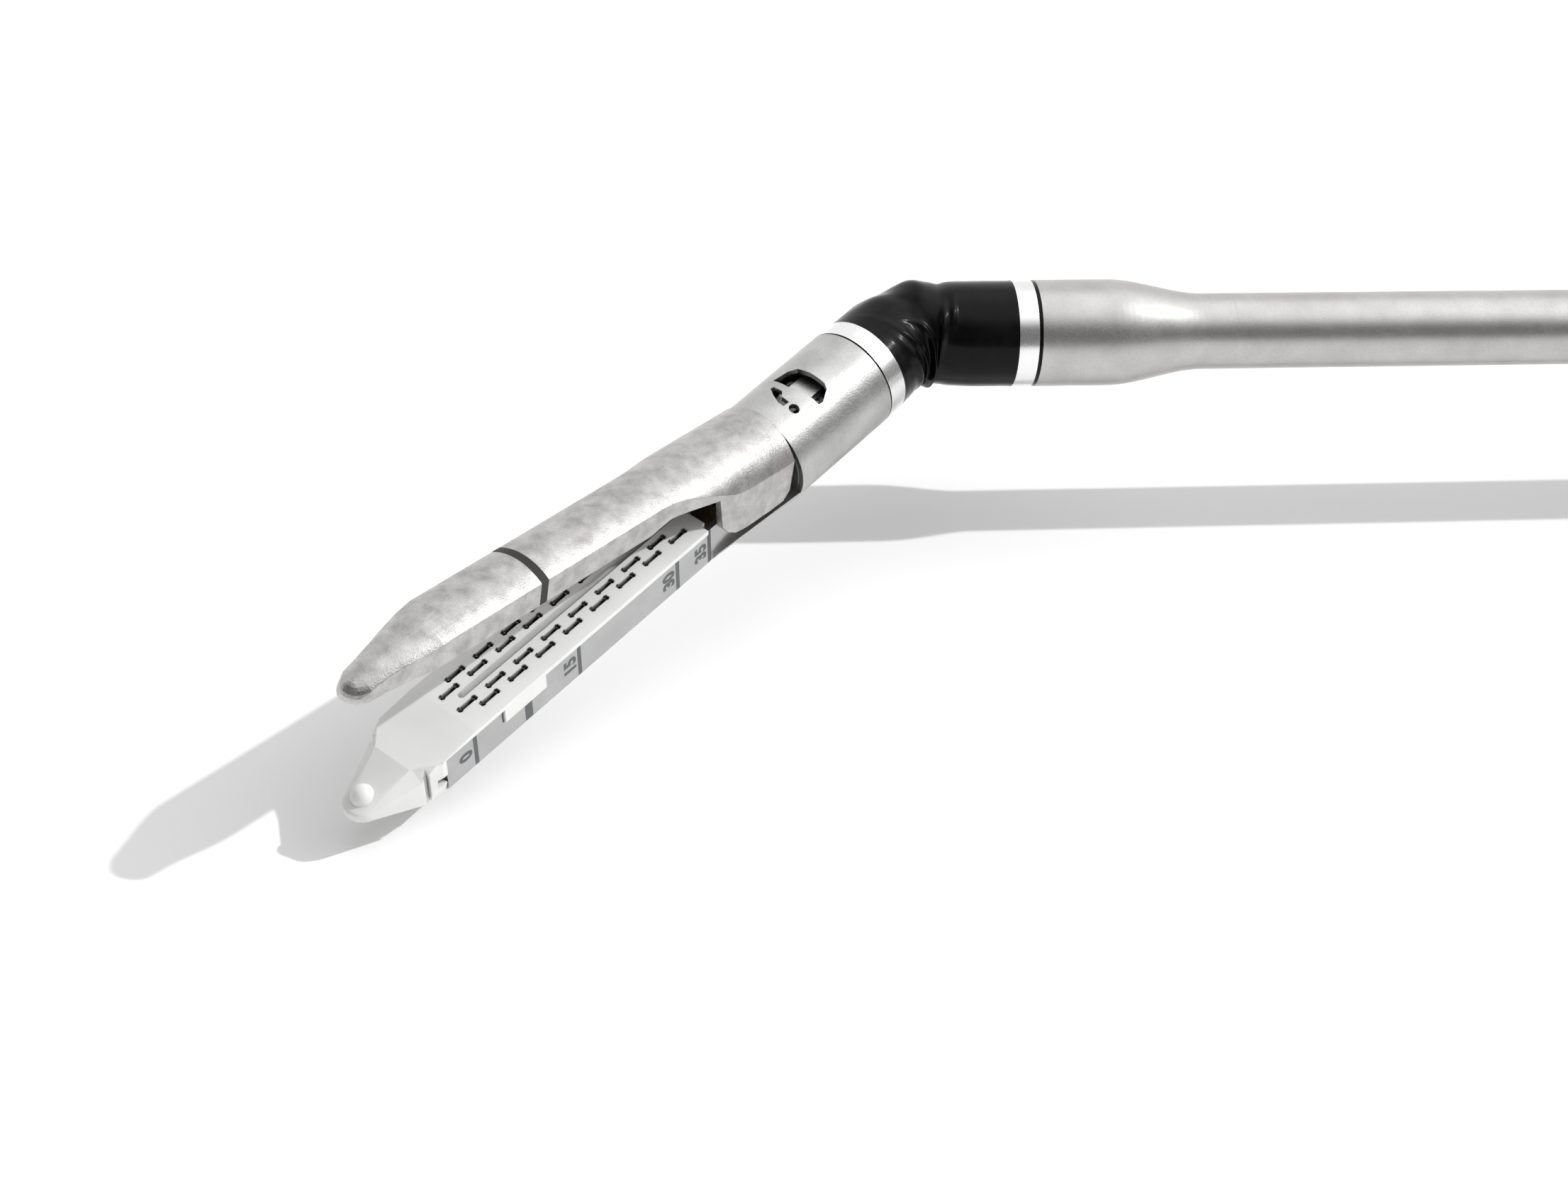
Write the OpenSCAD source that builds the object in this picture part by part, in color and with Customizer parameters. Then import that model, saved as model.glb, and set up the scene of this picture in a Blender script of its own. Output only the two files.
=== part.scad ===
// Powered surgical stapler with a two-axis wrist, in millimetres.
// Origin: centre of the housing's front face, on the shaft's axis. +X runs back into the housing,
// -X towards the jaws, +Z up. It lies on the flat underside of its housing.
// Jaw parts are drawn along a jaw axis of their own: +X towards the tip, +Y to the marked side,
// +Z to the anvil, with zero at the middle of the wrist.

/* [Pose] */
// Turn of the shaft about its own axis, in degrees
shaft_roll = 8.1; // [-20:0.1:20]
// Sideways bend of the wrist, in degrees
wrist_yaw = 44.4; // [30:0.1:55]
// Up and down bend of the wrist, in degrees
wrist_pitch = -6.3; // [-20:0.1:20]
// Angle between anvil and cartridge, in degrees
jaw_open = 12; // [6:0.5:14]

/* [Shaft] */
// Distance from the wrist's middle to the housing
shaft_reach = 160; // [140:1:450]
// Diameter of the thin shaft
shaft_d = 8.5; // [8.2:0.1:9.2]
// Wall of the shaft tube
shaft_wall = 0.75; // [0.5:0.05:0.9]
// Diameter of the jaw tube, rings and wide end of the reducer
tube_d = 11.84; // [11.6:0.02:12.6]
// Length of the reducer's straight wide part
reducer_wide_len = 8.4; // [6:0.1:14]
// Length of the reducer's curved taper
reducer_taper_len = 10.9; // [8:0.1:16]
// Length of the reducer's thin neck
reducer_neck_len = 3.1; // [2:0.1:8]
// Diameter of the drive rod inside the shaft
drive_rod_d = 2; // [1.6:0.1:2.2]

/* [Wrist] */
// Distance from the wrist's middle to the proximal clamp ring
ring_back = 12.1; // [11.5:0.1:15]
// Distance from the wrist's middle to the distal clamp ring
ring_front = 7; // [6.8:0.1:9]
// Width of the proximal clamp ring along the axis
back_ring_len = 2.2; // [1.8:0.1:3]
// Width of the distal clamp ring along the axis
front_ring_len = 2.3; // [1.8:0.1:3]
// Width of the proximal gasket along the axis
back_gasket_len = 0.42; // [0.1:0.02:0.6]
// Width of the distal gasket along the axis
front_gasket_len = 0.22; // [0.1:0.02:0.4]
// Wall of the rubber sleeve
sleeve_wall = 0.45; // [0.3:0.05:0.5]
// Diameter of the wrist's hinge pins
wrist_pin_d = 1.4; // [1.2:0.1:1.8]
// Width of a wrist clevis ear
ear_w = 3; // [2.6:0.1:3.2]
// Length of the gimbal ring
gimbal_len = 2.4; // [2.2:0.1:2.6]
// Diameter of the flexible drive core
core_d = 1.8; // [1.4:0.1:1.9]
// Diameter of a wrist wire
wire_d = 0.4; // [0.3:0.05:0.5]

/* [Jaw tube] */
// Length of the clevis tube
clevis_len = 15; // [14.5:0.1:18]
// Wall of the clevis tube
clevis_wall = 0.6; // [0.4:0.05:0.7]
// Width of the large window across the tube
window_w = 6; // [4:0.1:6.4]
// Length of the large window at its middle
window_len = 2.9; // [2:0.1:3.2]

/* [Cartridge and channel] */
// Length of the channel beyond the clevis tube
channel_len = 52; // [48:0.5:70]
// Outer width of the channel
channel_w = 7.8; // [7.4:0.1:8]
// Wall of the channel's sides
channel_wall = 0.6; // [0.4:0.05:0.7]
// Height of the channel's side walls above the axis
channel_top = 1.6; // [1.2:0.1:1.8]
// Depth of the channel's inner floor below the axis
channel_floor = 2; // [1.9:0.05:2.1]
// Radius of the channel's round back
channel_back_r = 5; // [4.9:0.05:5.2]
// Width of the cartridge's deck
deck_w = 8.6; // [8.2:0.1:9]
// Height of the cartridge's deck above the axis
deck_top = 2.23; // [2.1:0.01:2.4]
// Thickness of the cartridge's deck
deck_t = 1.55; // [1.3:0.05:1.7]
// Length of the pointed nose beyond the channel
nose_len = 8.9; // [8:0.1:14]
// Number of staples in a row
row_count = 8; // [4:1:9]
// Distance from staple to staple in a row
staple_pitch = 4; // [3.6:0.1:4.2]
// Distance of the inner staple rows from the middle
inner_row = 1.22; // [1.15:0.01:1.3]
// Distance of the outer staple rows from the middle
outer_row = 2.34; // [2.3:0.01:2.5]
// Length of a staple pocket
pocket_len = 2.6; // [2.2:0.1:2.8]
// Width of a staple pocket
pocket_w = 0.56; // [0.5:0.02:0.6]
// Diameter of the staple wire
staple_wire_d = 0.2; // [0.16:0.02:0.24]
// Width of the knife slot
knife_slot_w = 0.8; // [0.7:0.05:1]
// Thickness of the knife
knife_t = 0.5; // [0.3:0.05:0.6]
// Diameter of the lead screw
screw_d = 1.6; // [1.2:0.1:1.7]

/* [Anvil] */
// Distance from the wrist's middle to the anvil's hinge
hinge_s = 28; // [27:0.1:29]
// Length of the anvil from its hinge to where the tip begins
anvil_len = 46.4; // [42:0.1:60]
// Length of the curved tip
tip_len = 11.9; // [9:0.1:14]
// Width of the anvil's flat-sided blade
anvil_w = 6.6; // [6:0.1:7.4]
// Width across the anvil's flared heel
heel_w = 10.6; // [10.4:0.1:11.2]
// Radius of the anvil's round back
anvil_back_r = 5.95; // [5.8:0.05:6.4]
// Height of the middle of the anvil's round back above the jaw axis
anvil_axis_rise = 0.9; // [0.7:0.05:1.1]
// Gap between the closed anvil and the deck
tissue_gap = 0.87; // [0.6:0.01:1.2]
// Diameter of the anvil's hinge pins
hinge_pin_d = 1.8; // [1.4:0.1:2]
// Height of the closing pin above the hinge
closing_arm = 3.4; // [3.3:0.05:3.5]
// Diameter of the closing pin
closing_pin_d = 1; // [0.8:0.05:1.1]

/* [Drive housing] */
// Height of the shaft's axis above the surface that the housing lies on
rest_h = 24; // [23.5:0.5:30]
// Width of the housing
housing_w = 68; // [66:1:80]
// Length of the housing
housing_len = 78; // [76:1:100]
// Thickness of the housing's front plate
front_t = 5; // [4.5:0.1:6]
// Wall of the housing's shells
shell_wall = 2; // [1.5:0.1:2.2]
// Diameter of a drive disc
disc_d = 13; // [11:0.1:13.4]
// Distance of the four inner drive discs from the shaft's axis
disc_r = 18; // [17.5:0.1:18.4]
// Distance between the outer drive disc and the housing's side
outer_disc_edge = 2.5; // [2.5:0.1:3]
// Diameter of a drive disc's shaft
disc_shaft_d = 4; // [3:0.1:5]
// Teeth on the roll gear
roll_gear_teeth = 30; // [24:2:36]
// Teeth on the roll pinion
roll_pinion_teeth = 15; // [12:1:18]
// Teeth on each fire gear
fire_gear_teeth = 30; // [24:2:36]
// Teeth on each gear in the jaw tube
jaw_gear_teeth = 10; // [10:1:12]
// Width of a gear in the housing
gear_t = 4; // [3:0.1:5]
// Radius of a cable drum on a disc's shaft
drum_r = 5; // [4:0.1:6]
// Radius of the closing cable's drum
closing_drum_r = 2.6; // [2.4:0.1:3]

/* [Clearances] */
// Radial clearance of a shaft that turns in its hole
run_gap = 0.05; // [0.02:0.01:0.08]
// Clearance between pieces that are fixed together
seat_gap = 0.02; // [0.01:0.01:0.03]
// Clearance beside a piece that slides or turns
side_gap = 0.15; // [0.1:0.01:0.2]

/* [Hidden] */
$fn = 48;

// Overrun of a cut past the face that it opens
cut = 0.5;
tube_r = tube_d / 2;
shaft_r = shaft_d / 2;
shaft_bore_r = shaft_r - shaft_wall;

// Stations along the wrist and shaft, from the wrist's middle
back_ring_end = ring_back + back_ring_len;
reducer_start = back_ring_end + back_gasket_len;
taper_start = reducer_start + reducer_wide_len;
taper_end = taper_start + reducer_taper_len;
tube_start = taper_end + reducer_neck_len;
front_ring_end = ring_front + front_ring_len;
clevis_start = front_ring_end + front_gasket_len;
clevis_end = clevis_start + clevis_len;
channel_end = clevis_end + channel_len;

// Wrist sizes
sleeve_r = tube_r - 0.05 * sleeve_wall;
sleeve_bore_r = sleeve_r - sleeve_wall;
wrist_body_r = sleeve_bore_r - 1.5 * side_gap;
wrist_bore_r = wrist_body_r * 0.58;
ear_out_r = wrist_body_r - side_gap;
gimbal_r = ear_out_r * 0.75;
gimbal_bore_r = gimbal_r * 0.82;
ear_in_r = gimbal_r + side_gap;
wrist_base_gap = 5.75;
wrist_pin_r = wrist_pin_d / 2;
core_r = core_d / 2;
wire_r = wire_d / 2;
wire_ring_r = 1.4;
bend_start = 0.8;

// Clevis tube and what turns and slides inside it
clevis_bore_r = tube_r - clevis_wall;
clevis_tail_len = 4;
bulkhead_len = 2.2;
bulkhead_start = clevis_end - bulkhead_len;
screw_drop = 3.2;
screw_r = screw_d / 2;
jaw_gear_len = 2;
jaw_gear_start = bulkhead_start - jaw_gear_len - 4 * side_gap;
jaw_gear_module = screw_drop / jaw_gear_teeth;
yoke_low = 2.3;
yoke_high = 4.5;
yoke_w = 2.8;
yoke_back_gap = 2.2;
yoke_start = clevis_start + clevis_tail_len + yoke_back_gap;
yoke_head_len = 1.4;
yoke_head_w = 5;
crimp_r = 0.75;

// Channel and cartridge
channel_half = channel_w / 2;
channel_in = channel_half - channel_wall;
groove_half = 1.3;
groove_floor = channel_back_r - channel_wall;
cartridge_half = channel_in - run_gap;
cartridge_set_back = 12.9;
cartridge_start = clevis_end + cartridge_set_back;
nose_gap = 0.7;
nose_start = channel_end + nose_gap;
nose_end = nose_start + nose_len;
knife_slot_set_back = 6.4;
knife_slot_end = channel_end - knife_slot_set_back;
last_pocket_set_back = 0.82;
last_pocket = knife_slot_end - last_pocket_set_back;
pan_t = 0.2;
cartridge_low = channel_floor - pan_t - 2 * run_gap;
cavity_half = outer_row + pocket_w;
cavity_top = deck_top - deck_t;
knife_len = 3.4;
knife_travel = 33;
knife_end_gap = 0.6;
knife_start = knife_slot_end - knife_end_gap - knife_travel - knife_len;
sled_len = 4.6;
sled_start = knife_start + knife_len + run_gap;
cavity_end = sled_start + sled_len + knife_travel + side_gap;
nut_half = groove_half - 2 * run_gap;
nut_len = 5;
screw_end_len = 1.6;
screw_end_start = channel_end - 2 * screw_end_len;

// Anvil, drawn closed
hinge_w = 0;
hinge_pin_r = hinge_pin_d / 2;
hinge_pin_in = channel_in;
cheek_in = channel_half + side_gap;
hinge_pin_cover = 0.35;
hinge_pin_out = heel_w / 2 - hinge_pin_cover;
closing_pin_r = closing_pin_d / 2;
anvil_half = anvil_w / 2;
heel_half = heel_w / 2;
anvil_under = deck_top + tissue_gap;
heel_back_len = 2.05;
heel_start = hinge_s - heel_back_len;
tip_start = hinge_s + anvil_len;
tip_end = tip_start + tip_len;
tip_r = 1.9;
heel_roof = 5.5;
anvil_slot_top = 5.4;

// Housing stations, from its front face
disc_back = 3;
shaft_plate_start = 20;
plate_t = 3;
drum_start = 27.2;
drum_len = 4;
fire_gear_start = 34;
rear_plate_start = 41;
roll_gear_start = 9;
plate_margin = 1.2;
cap_plug_len = 1.5;
cap_step = 1;
tail_len = 14;
button_lip = 1.2;
button_start = rear_plate_start + plate_t + button_lip + 2 * side_gap;
button_end = housing_len - tail_len - button_lip - 2 * side_gap;
button_len = button_end - button_start;
button_h = 12;
button_travel = 2.5;
button_proud = 1.4;
corner_r = 8;
disc_r_outer = disc_d / 2;
disc_shaft_r = disc_shaft_d / 2;
disc_angle = 39.7;
roll_disc_at = [-disc_r * cos(disc_angle), disc_r * sin(disc_angle)];
fire_disc_at = [disc_r * cos(disc_angle), disc_r * sin(disc_angle)];
yaw_disc_at = [-disc_r * cos(disc_angle), -disc_r * sin(disc_angle)];
pitch_disc_at = [disc_r * cos(disc_angle), -disc_r * sin(disc_angle)];
closing_disc_at = [outer_disc_edge + disc_r_outer - housing_w / 2, 0];
disc_places = [roll_disc_at, fire_disc_at, yaw_disc_at, pitch_disc_at, closing_disc_at];
roll_module = 2 * disc_r / (roll_gear_teeth + roll_pinion_teeth);
fire_module = disc_r / fire_gear_teeth;
drive_rod_r = drive_rod_d / 2;

// Frames of the moving groups

module in_shaft()
    translate([-shaft_reach, 0, 0]) rotate([shaft_roll, 0, 0]) children();

module in_gimbal()
    in_shaft() rotate([0, 0, wrist_yaw]) children();

module in_jaw()
    in_gimbal() rotate([0, wrist_pitch, 0]) rotate([0, 0, 180]) children();

module in_anvil()
    in_jaw() translate([hinge_s, 0, hinge_w]) rotate([0, -jaw_open, 0]) translate([-hinge_s, 0, -hinge_w])
        children();

// Points of the jaw's frame, seen from the shaft's frame

function spin_z(p, a) = [p.x * cos(a) - p.y * sin(a), p.x * sin(a) + p.y * cos(a), p.z];
function spin_y(p, a) = [p.x * cos(a) + p.z * sin(a), p.y, p.z * cos(a) - p.x * sin(a)];
function from_gimbal(p) = spin_z(p, wrist_yaw);
function from_jaw(p) = from_gimbal(spin_y(spin_z(p, 180), wrist_pitch));

// Basic shapes

module rod_x(x0, x1, r)
    translate([x0, 0, 0]) rotate([0, 90, 0]) cylinder(h = x1 - x0, r = r);

module rod_y(x, z, y0, y1, r)
    translate([x, y0, z]) rotate([-90, 0, 0]) cylinder(h = y1 - y0, r = r);

module rod_z(x, y, z0, z1, r)
    translate([x, y, z0]) cylinder(h = z1 - z0, r = r);

module cone_x(x0, x1, r0, r1)
    translate([x0, 0, 0]) rotate([0, 90, 0]) cylinder(h = x1 - x0, r1 = r0, r2 = r1);

module ring_x(x0, x1, r_out, r_in)
    difference() {
        rod_x(x0, x1, r_out);
        rod_x(x0 - cut, x1 + cut, r_in);
    }

module box(x0, x1, y0, y1, z0, z1)
    translate([x0, y0, z0]) cube([x1 - x0, y1 - y0, z1 - z0]);

// A box that is even about the middle plane
module mid_box(x0, x1, half, z0, z1)
    box(x0, x1, -half, half, z0, z1);

// A flat outline in Y and Z, drawn out along X
module along_x(x0, x1)
    translate([x0, 0, 0]) rotate([90, 0, 90]) linear_extrude(x1 - x0) children();

// A side outline in X and Z, drawn out to both sides
module across_y(half)
    rotate([90, 0, 0]) linear_extrude(2 * half, center = true) children();

// Turned so that Z points along a direction, at a point
module facing(p, d)
    translate(p) rotate([0, acos(d.z / norm(d)), atan2(d.y, d.x)]) children();

// Everything on the far side of a plane through a point, less half of a seat's clearance
module beyond(p, d, size)
    facing(p, d) translate([-size, -size, seat_gap / 2]) cube([2 * size, 2 * size, 2 * size]);

function way(p, q) = (q - p) / norm(q - p);

// A wire through a list of points, in straight pieces whose ends are mitred at each corner
module wire(points, r) {
    last = len(points) - 2;
    for (i = [0 : last]) {
        p = points[i];
        q = points[i + 1];
        d = way(p, q);
        reach = norm(q - p);
        intersection() {
            facing(p - (i > 0 ? 2 * r : 0) * d, d)
                cylinder(h = reach + (i > 0 ? 2 * r : 0) + (i < last ? 2 * r : 0), r = r);
            if (i > 0) beyond(p, d + way(points[i - 1], p), 2 * reach);
            if (i < last) beyond(q, -d - way(q, points[i + 2]), 2 * reach);
        }
    }
}

// Involute gears

pressure_angle = 25;
gear_backlash_share = 0.03;
addendum_share = 0.9;
dedendum_share = 1.15;
flank_steps = 4;

function involute_turn(a) = tan(a) * 180 / PI - a;
function flank_angle(r, base_r, half) =
    half + involute_turn(pressure_angle) - involute_turn(acos(min(1, base_r / r)));
function tooth_side(teeth, pitch_r, base_r, low_r, tip_r) = [
    for (i = [0 : flank_steps])
        let (r = low_r + (tip_r - low_r) * i / flank_steps)
        [r, flank_angle(r, base_r, 90 / teeth * (1 - 2 * gear_backlash_share))]
];

module gear_outline(teeth, size) {
    pitch_r = teeth * size / 2;
    base_r = pitch_r * cos(pressure_angle);
    root_r = pitch_r - dedendum_share * size;
    side = tooth_side(teeth, pitch_r, base_r, max(base_r, root_r), pitch_r + addendum_share * size);
    last = len(side) - 1;
    tooth = concat(
        [[root_r, -side[0][1]]],
        [for (i = [0 : last]) [side[i][0], -side[i][1]]],
        [for (i = [0 : last]) [side[last - i][0], side[last - i][1]]],
        [[root_r, side[0][1]]]
    );
    polygon([for (n = [0 : teeth - 1]) for (t = tooth)
        [t[0] * cos(t[1] + 360 * n / teeth), t[0] * sin(t[1] + 360 * n / teeth)]]);
}

module gear_x(x0, len, teeth, size, bore_r, turn)
    along_x(x0, x0 + len) difference() {
        rotate(turn) gear_outline(teeth, size);
        circle(r = bore_r);
    }

// Cartridge and channel

module channel_section()
    difference() {
        intersection() {
            circle(r = channel_back_r);
            translate([-channel_half, -channel_back_r]) square([channel_w, channel_back_r + channel_top]);
        }
        channel_hollow();
    }

module channel_hollow() {
    translate([-channel_in, -channel_floor]) square([2 * channel_in, channel_floor + tube_r]);
    translate([-groove_half, -groove_floor]) square([2 * groove_half, groove_floor]);
}

clip_notch_set_back = 14.1;
clip_notch_start = channel_end - clip_notch_set_back;
clip_notch_len = 6.2;
clip_notch_depth = 2.1;
channel_root_len = 1.5;
heel_wall_len = 12.5;
heel_wall_end = clevis_end + heel_wall_len;
cheek_low = 1.9;
foot_slot_half = 0.5;

module cartridge_channel() color("lightgray") in_jaw() difference() {
    union() {
        along_x(clevis_end + seat_gap + channel_root_len, channel_end) channel_section();
        difference() {
            cone_x(clevis_end + seat_gap, heel_wall_end, tube_r, channel_back_r);
            mid_box(clevis_end - cut, heel_wall_end + cut, tube_r, -cheek_low, tube_r);
            along_x(clevis_end - cut, heel_wall_end + cut) channel_hollow();
        }
    }
    // windows for the cartridge's side clips
    mid_box(clip_notch_start, clip_notch_start + clip_notch_len, tube_r,
        channel_top - clip_notch_depth, tube_r);
    // holes for the anvil's hinge pins
    rod_y(hinge_s, hinge_w, -tube_r, tube_r, hinge_pin_r + seat_gap);
    // slot in the back, which lets tissue fluid out
    mid_box(hinge_s + 2 * nut_len, screw_end_start - nut_len, foot_slot_half, -tube_r, 0);
}

nose_tip_r = 2;
nose_tip_low = 1.6;
nose_tip_h = 0.8;
nose_step = 0.1;
nose_back_half = deck_w / 2 - nose_step;
nose_root_low = 3.3;
nose_shoulder = nose_gap - side_gap;
// neck, where the nose starts to narrow
neck = nose_start + 2.4;
neck_slice = 0.2;
neck_low = 3;
neck_side_top = 0.4;
neck_side_half = 0.86 * nose_back_half;
neck_top_half = 0.57 * nose_back_half;
root_side_low = 1;
// the deck falls a little from here to the neck
deck_fall_start = nose_start - 4.7;
deck_fall_len = neck - deck_fall_start;
deck_fall = 0.6;
deck_fall_end = neck + 2 * neck_slice;
neck_top = deck_top - deck_fall + run_gap;
// lift point at the tip
bump_r = 1.25;
bump_set_back = 1.05 * nose_tip_r;
bump_drop = 0.2;
// grooves and recesses in the nose's sides, which keep its walls thin
nose_groove = neck - 0.9;
nose_groove_w = 0.6;
nose_groove_depth = 0.85;
nose_recess_end = nose_start + 0.7;
nose_recess_low = 1.9;
nose_recess_top = -0.55;
nose_recess_depth = 1.1;
clip_proud = 0.35;

module neck_part() {
    mid_box(neck - neck_slice, neck, neck_side_half, -neck_low, neck_side_top);
    mid_box(neck - neck_slice, neck, neck_top_half, -neck_low, neck_top);
}

module nose() {
    hull() {
        mid_box(nose_start - nose_shoulder, nose_start, nose_back_half, -root_side_low, deck_top);
        mid_box(nose_start - nose_shoulder, nose_start, neck_side_half, -nose_root_low, deck_top);
        neck_part();
    }
    hull() {
        neck_part();
        translate([nose_end - nose_tip_r, 0, -nose_tip_low]) {
            cylinder(h = nose_tip_h, r = nose_tip_r, $fn = 32);
            translate([0, 0, nose_tip_h]) scale([1, 1, 0.3]) sphere(r = nose_tip_r, $fn = 32);
        }
    }
    translate([nose_end - bump_set_back, 0, -bump_drop]) sphere(r = bump_r);
}

module side_recess(x0, x1, depth, z0, z1)
    for (side = [-1, 1])
        translate([0, side * (nose_back_half + (cut - depth) / 2), 0])
            mid_box(x0, x1, (cut + depth) / 2, z0, z1);

module deck_fall_cut() rotate([90, 0, 0]) linear_extrude(tube_d, center = true)
    polygon([
        [deck_fall_start, deck_top],
        [deck_fall_end, deck_top - deck_fall * (deck_fall_end - deck_fall_start) / deck_fall_len],
        [deck_fall_end, deck_top + cut],
        [deck_fall_start, deck_top + cut],
    ]);

module pocket_places()
    for (side = [-1, 1], row = [0, 1], i = [0 : row_count - 1])
        translate([
            last_pocket - row * staple_pitch / 2 + pocket_len / 2 - i * staple_pitch,
            side * (row == 0 ? inner_row : outer_row), 0
        ])
            children();

pocket_end_len = 0.3;
pocket_end_w = 1.3 * pocket_w;
pocket_guide_depth = 0.6 * pocket_w;

module pocket() {
    translate([-pocket_len / 2, -pocket_w / 2, 0]) cube([pocket_len, pocket_w, deck_top + cut]);
    // guides at the ends, which keep the staple's legs upright
    for (end = [-1, 1])
        translate([end * (pocket_len / 2 - pocket_end_len), 0, deck_top - pocket_guide_depth])
            mid_box(-pocket_end_len / 2, pocket_end_len / 2, pocket_end_w / 2, 0, deck_top);
}

module cartridge_body() color("white") in_jaw() difference() {
    union() {
        mid_box(cartridge_start, nose_start, cartridge_half, -cartridge_low, deck_top);
        mid_box(cartridge_start + channel_wall, nose_start, deck_w / 2, channel_top + run_gap, deck_top);
        for (side = [-1, 1])
            translate([0, side * (cartridge_half + (channel_wall + clip_proud) / 2), 0])
                mid_box(clip_notch_start + side_gap, clip_notch_start + clip_notch_len - side_gap,
                    (channel_wall + clip_proud) / 2, channel_top - clip_notch_depth + side_gap,
                    channel_top + 2 * run_gap);
        nose();
    }
    // space for the sled, open below
    mid_box(cartridge_start - cut, cavity_end, cavity_half, -channel_back_r, cavity_top);
    // slot for the knife
    mid_box(cartridge_start - cut, knife_slot_end, knife_slot_w / 2, -channel_back_r, tube_r);
    translate([knife_slot_end, 0, 0]) cylinder(h = tube_r, r = knife_slot_w / 2);
    pocket_places() pocket();
    deck_fall_cut();
    side_recess(nose_groove, nose_groove + nose_groove_w, nose_groove_depth, -tube_r, tube_r);
    side_recess(nose_start - nose_shoulder - cut, nose_recess_end, nose_recess_depth,
        -nose_recess_low, nose_recess_top);
}

module cartridge_pan() color("silver") in_jaw() difference() {
    mid_box(cartridge_start + channel_wall, cavity_end, cartridge_half,
        -channel_floor + run_gap / 2, -channel_floor + run_gap / 2 + pan_t);
    mid_box(cartridge_start - cut, knife_slot_end, knife_slot_w / 2, -tube_r, 0);
}

staple_w = pocket_len - 2 * pocket_end_len;
staple_rise = 0.45;
staple_low = cavity_top + staple_rise;
staple_wire_r = staple_wire_d / 2;

module staple() {
    half = staple_w / 2 - staple_wire_r;
    rod_x(-half, half, staple_wire_r);
    for (end = [-1, 1]) translate([end * half, 0, 0]) {
        sphere(r = staple_wire_r);
        cylinder(h = deck_top - staple_low - 2 * run_gap, r = staple_wire_r);
    }
}

module staples() color("gainsboro") in_jaw()
    pocket_places() translate([0, 0, staple_low]) staple();

module staple_pushers() color("ivory") in_jaw()
    pocket_places()
        translate([-pocket_len / 2 + run_gap, -pocket_w / 2 + run_gap, cavity_top - 2 * run_gap])
            cube([pocket_len - 2 * run_gap, pocket_w - 2 * run_gap, staple_rise - staple_wire_r + run_gap]);

sled_low = cartridge_low - run_gap;
sled_peak = cavity_top - 4 * run_gap;
sled_base_t = 0.6;

module wedge_sled() color("dimgray") in_jaw() difference() {
    union() {
        mid_box(sled_start, sled_start + sled_len, cavity_half - side_gap,
            -sled_low, -sled_low + sled_base_t);
        for (y = [-outer_row, -inner_row, inner_row, outer_row])
            translate([0, y, 0]) across_y(pocket_w / 2 - run_gap)
                polygon([
                    [sled_start, -sled_low], [sled_start + sled_len, -sled_low],
                    [sled_start + sled_len, -sled_low + sled_base_t],
                    [sled_start + sled_len * 0.45, sled_peak], [sled_start, sled_peak]
                ]);
    }
    mid_box(sled_start - cut, sled_start + sled_len * 0.8, knife_t / 2 + run_gap, -tube_r, tube_r);
}

blade_reach = 0.8;
blade_top = deck_top + tissue_gap + blade_reach;
web_low = channel_floor + run_gap;

module knife() color("silver") in_jaw() across_y(knife_t / 2)
    polygon([
        [knife_start, -web_low], [knife_start + knife_len, -web_low],
        [knife_start + knife_len, 0], [knife_start + knife_len * 0.7, deck_top],
        [knife_start + knife_len * 0.95, blade_top], [knife_start + knife_len * 0.3, blade_top],
        [knife_start, 0]
    ]);

module drive_nut() color("goldenrod") in_jaw() difference() {
    mid_box(knife_start - nut_len / 4, knife_start - nut_len / 4 + nut_len, nut_half,
        -groove_floor + run_gap, -web_low - seat_gap);
    translate([0, 0, -screw_drop]) rod_x(knife_start - nut_len, knife_start + nut_len, screw_r + run_gap);
}

module lead_screw() color("silver") in_jaw() translate([0, 0, -screw_drop])
    rod_x(jaw_gear_start, screw_end_start + screw_end_len, screw_r);

module screw_gear() color("darkgoldenrod") in_jaw() translate([0, 0, -screw_drop])
    gear_x(jaw_gear_start, jaw_gear_len, jaw_gear_teeth, jaw_gear_module, screw_r + seat_gap,
        90 + 180 / jaw_gear_teeth);

module screw_end_bearing() color("darkgoldenrod") in_jaw() difference() {
    mid_box(screw_end_start, screw_end_start + screw_end_len, groove_half - seat_gap,
        -groove_floor + seat_gap, -channel_floor - seat_gap);
    translate([0, 0, -screw_drop])
        rod_x(screw_end_start - cut, screw_end_start + screw_end_len + cut, screw_r + run_gap);
}

// Anvil

heel_straight_len = 5.5;
heel_len = 17;
heel_straight_end = hinge_s + heel_straight_len;
heel_flare_end = hinge_s + heel_len;
heel_flare_len = heel_flare_end - heel_straight_end;
flare_steps = 10;

// A smooth step from 0 to 1
function ease(t) = t * t * (3 - 2 * t);
function flare_half(t) = heel_half + (anvil_half - heel_half) * ease(t);
flare_side = [for (i = [0 : flare_steps])
    [heel_straight_end + heel_flare_len * i / flare_steps, flare_half(i / flare_steps)]];

module anvil_plan(end_s)
    polygon(concat(
        [[heel_start, heel_half]], flare_side, [[end_s, anvil_half], [end_s, -anvil_half]],
        [for (i = [0 : flare_steps]) [flare_side[flare_steps - i].x, -flare_side[flare_steps - i].y]],
        [[heel_start, -heel_half]]
    ));

cheek_len = 8.6;
cheek_front = hinge_s + cheek_len;
cheek_depth = 1.55;
cheek_round_r = 1.5;
step_up = 0.75;

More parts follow.
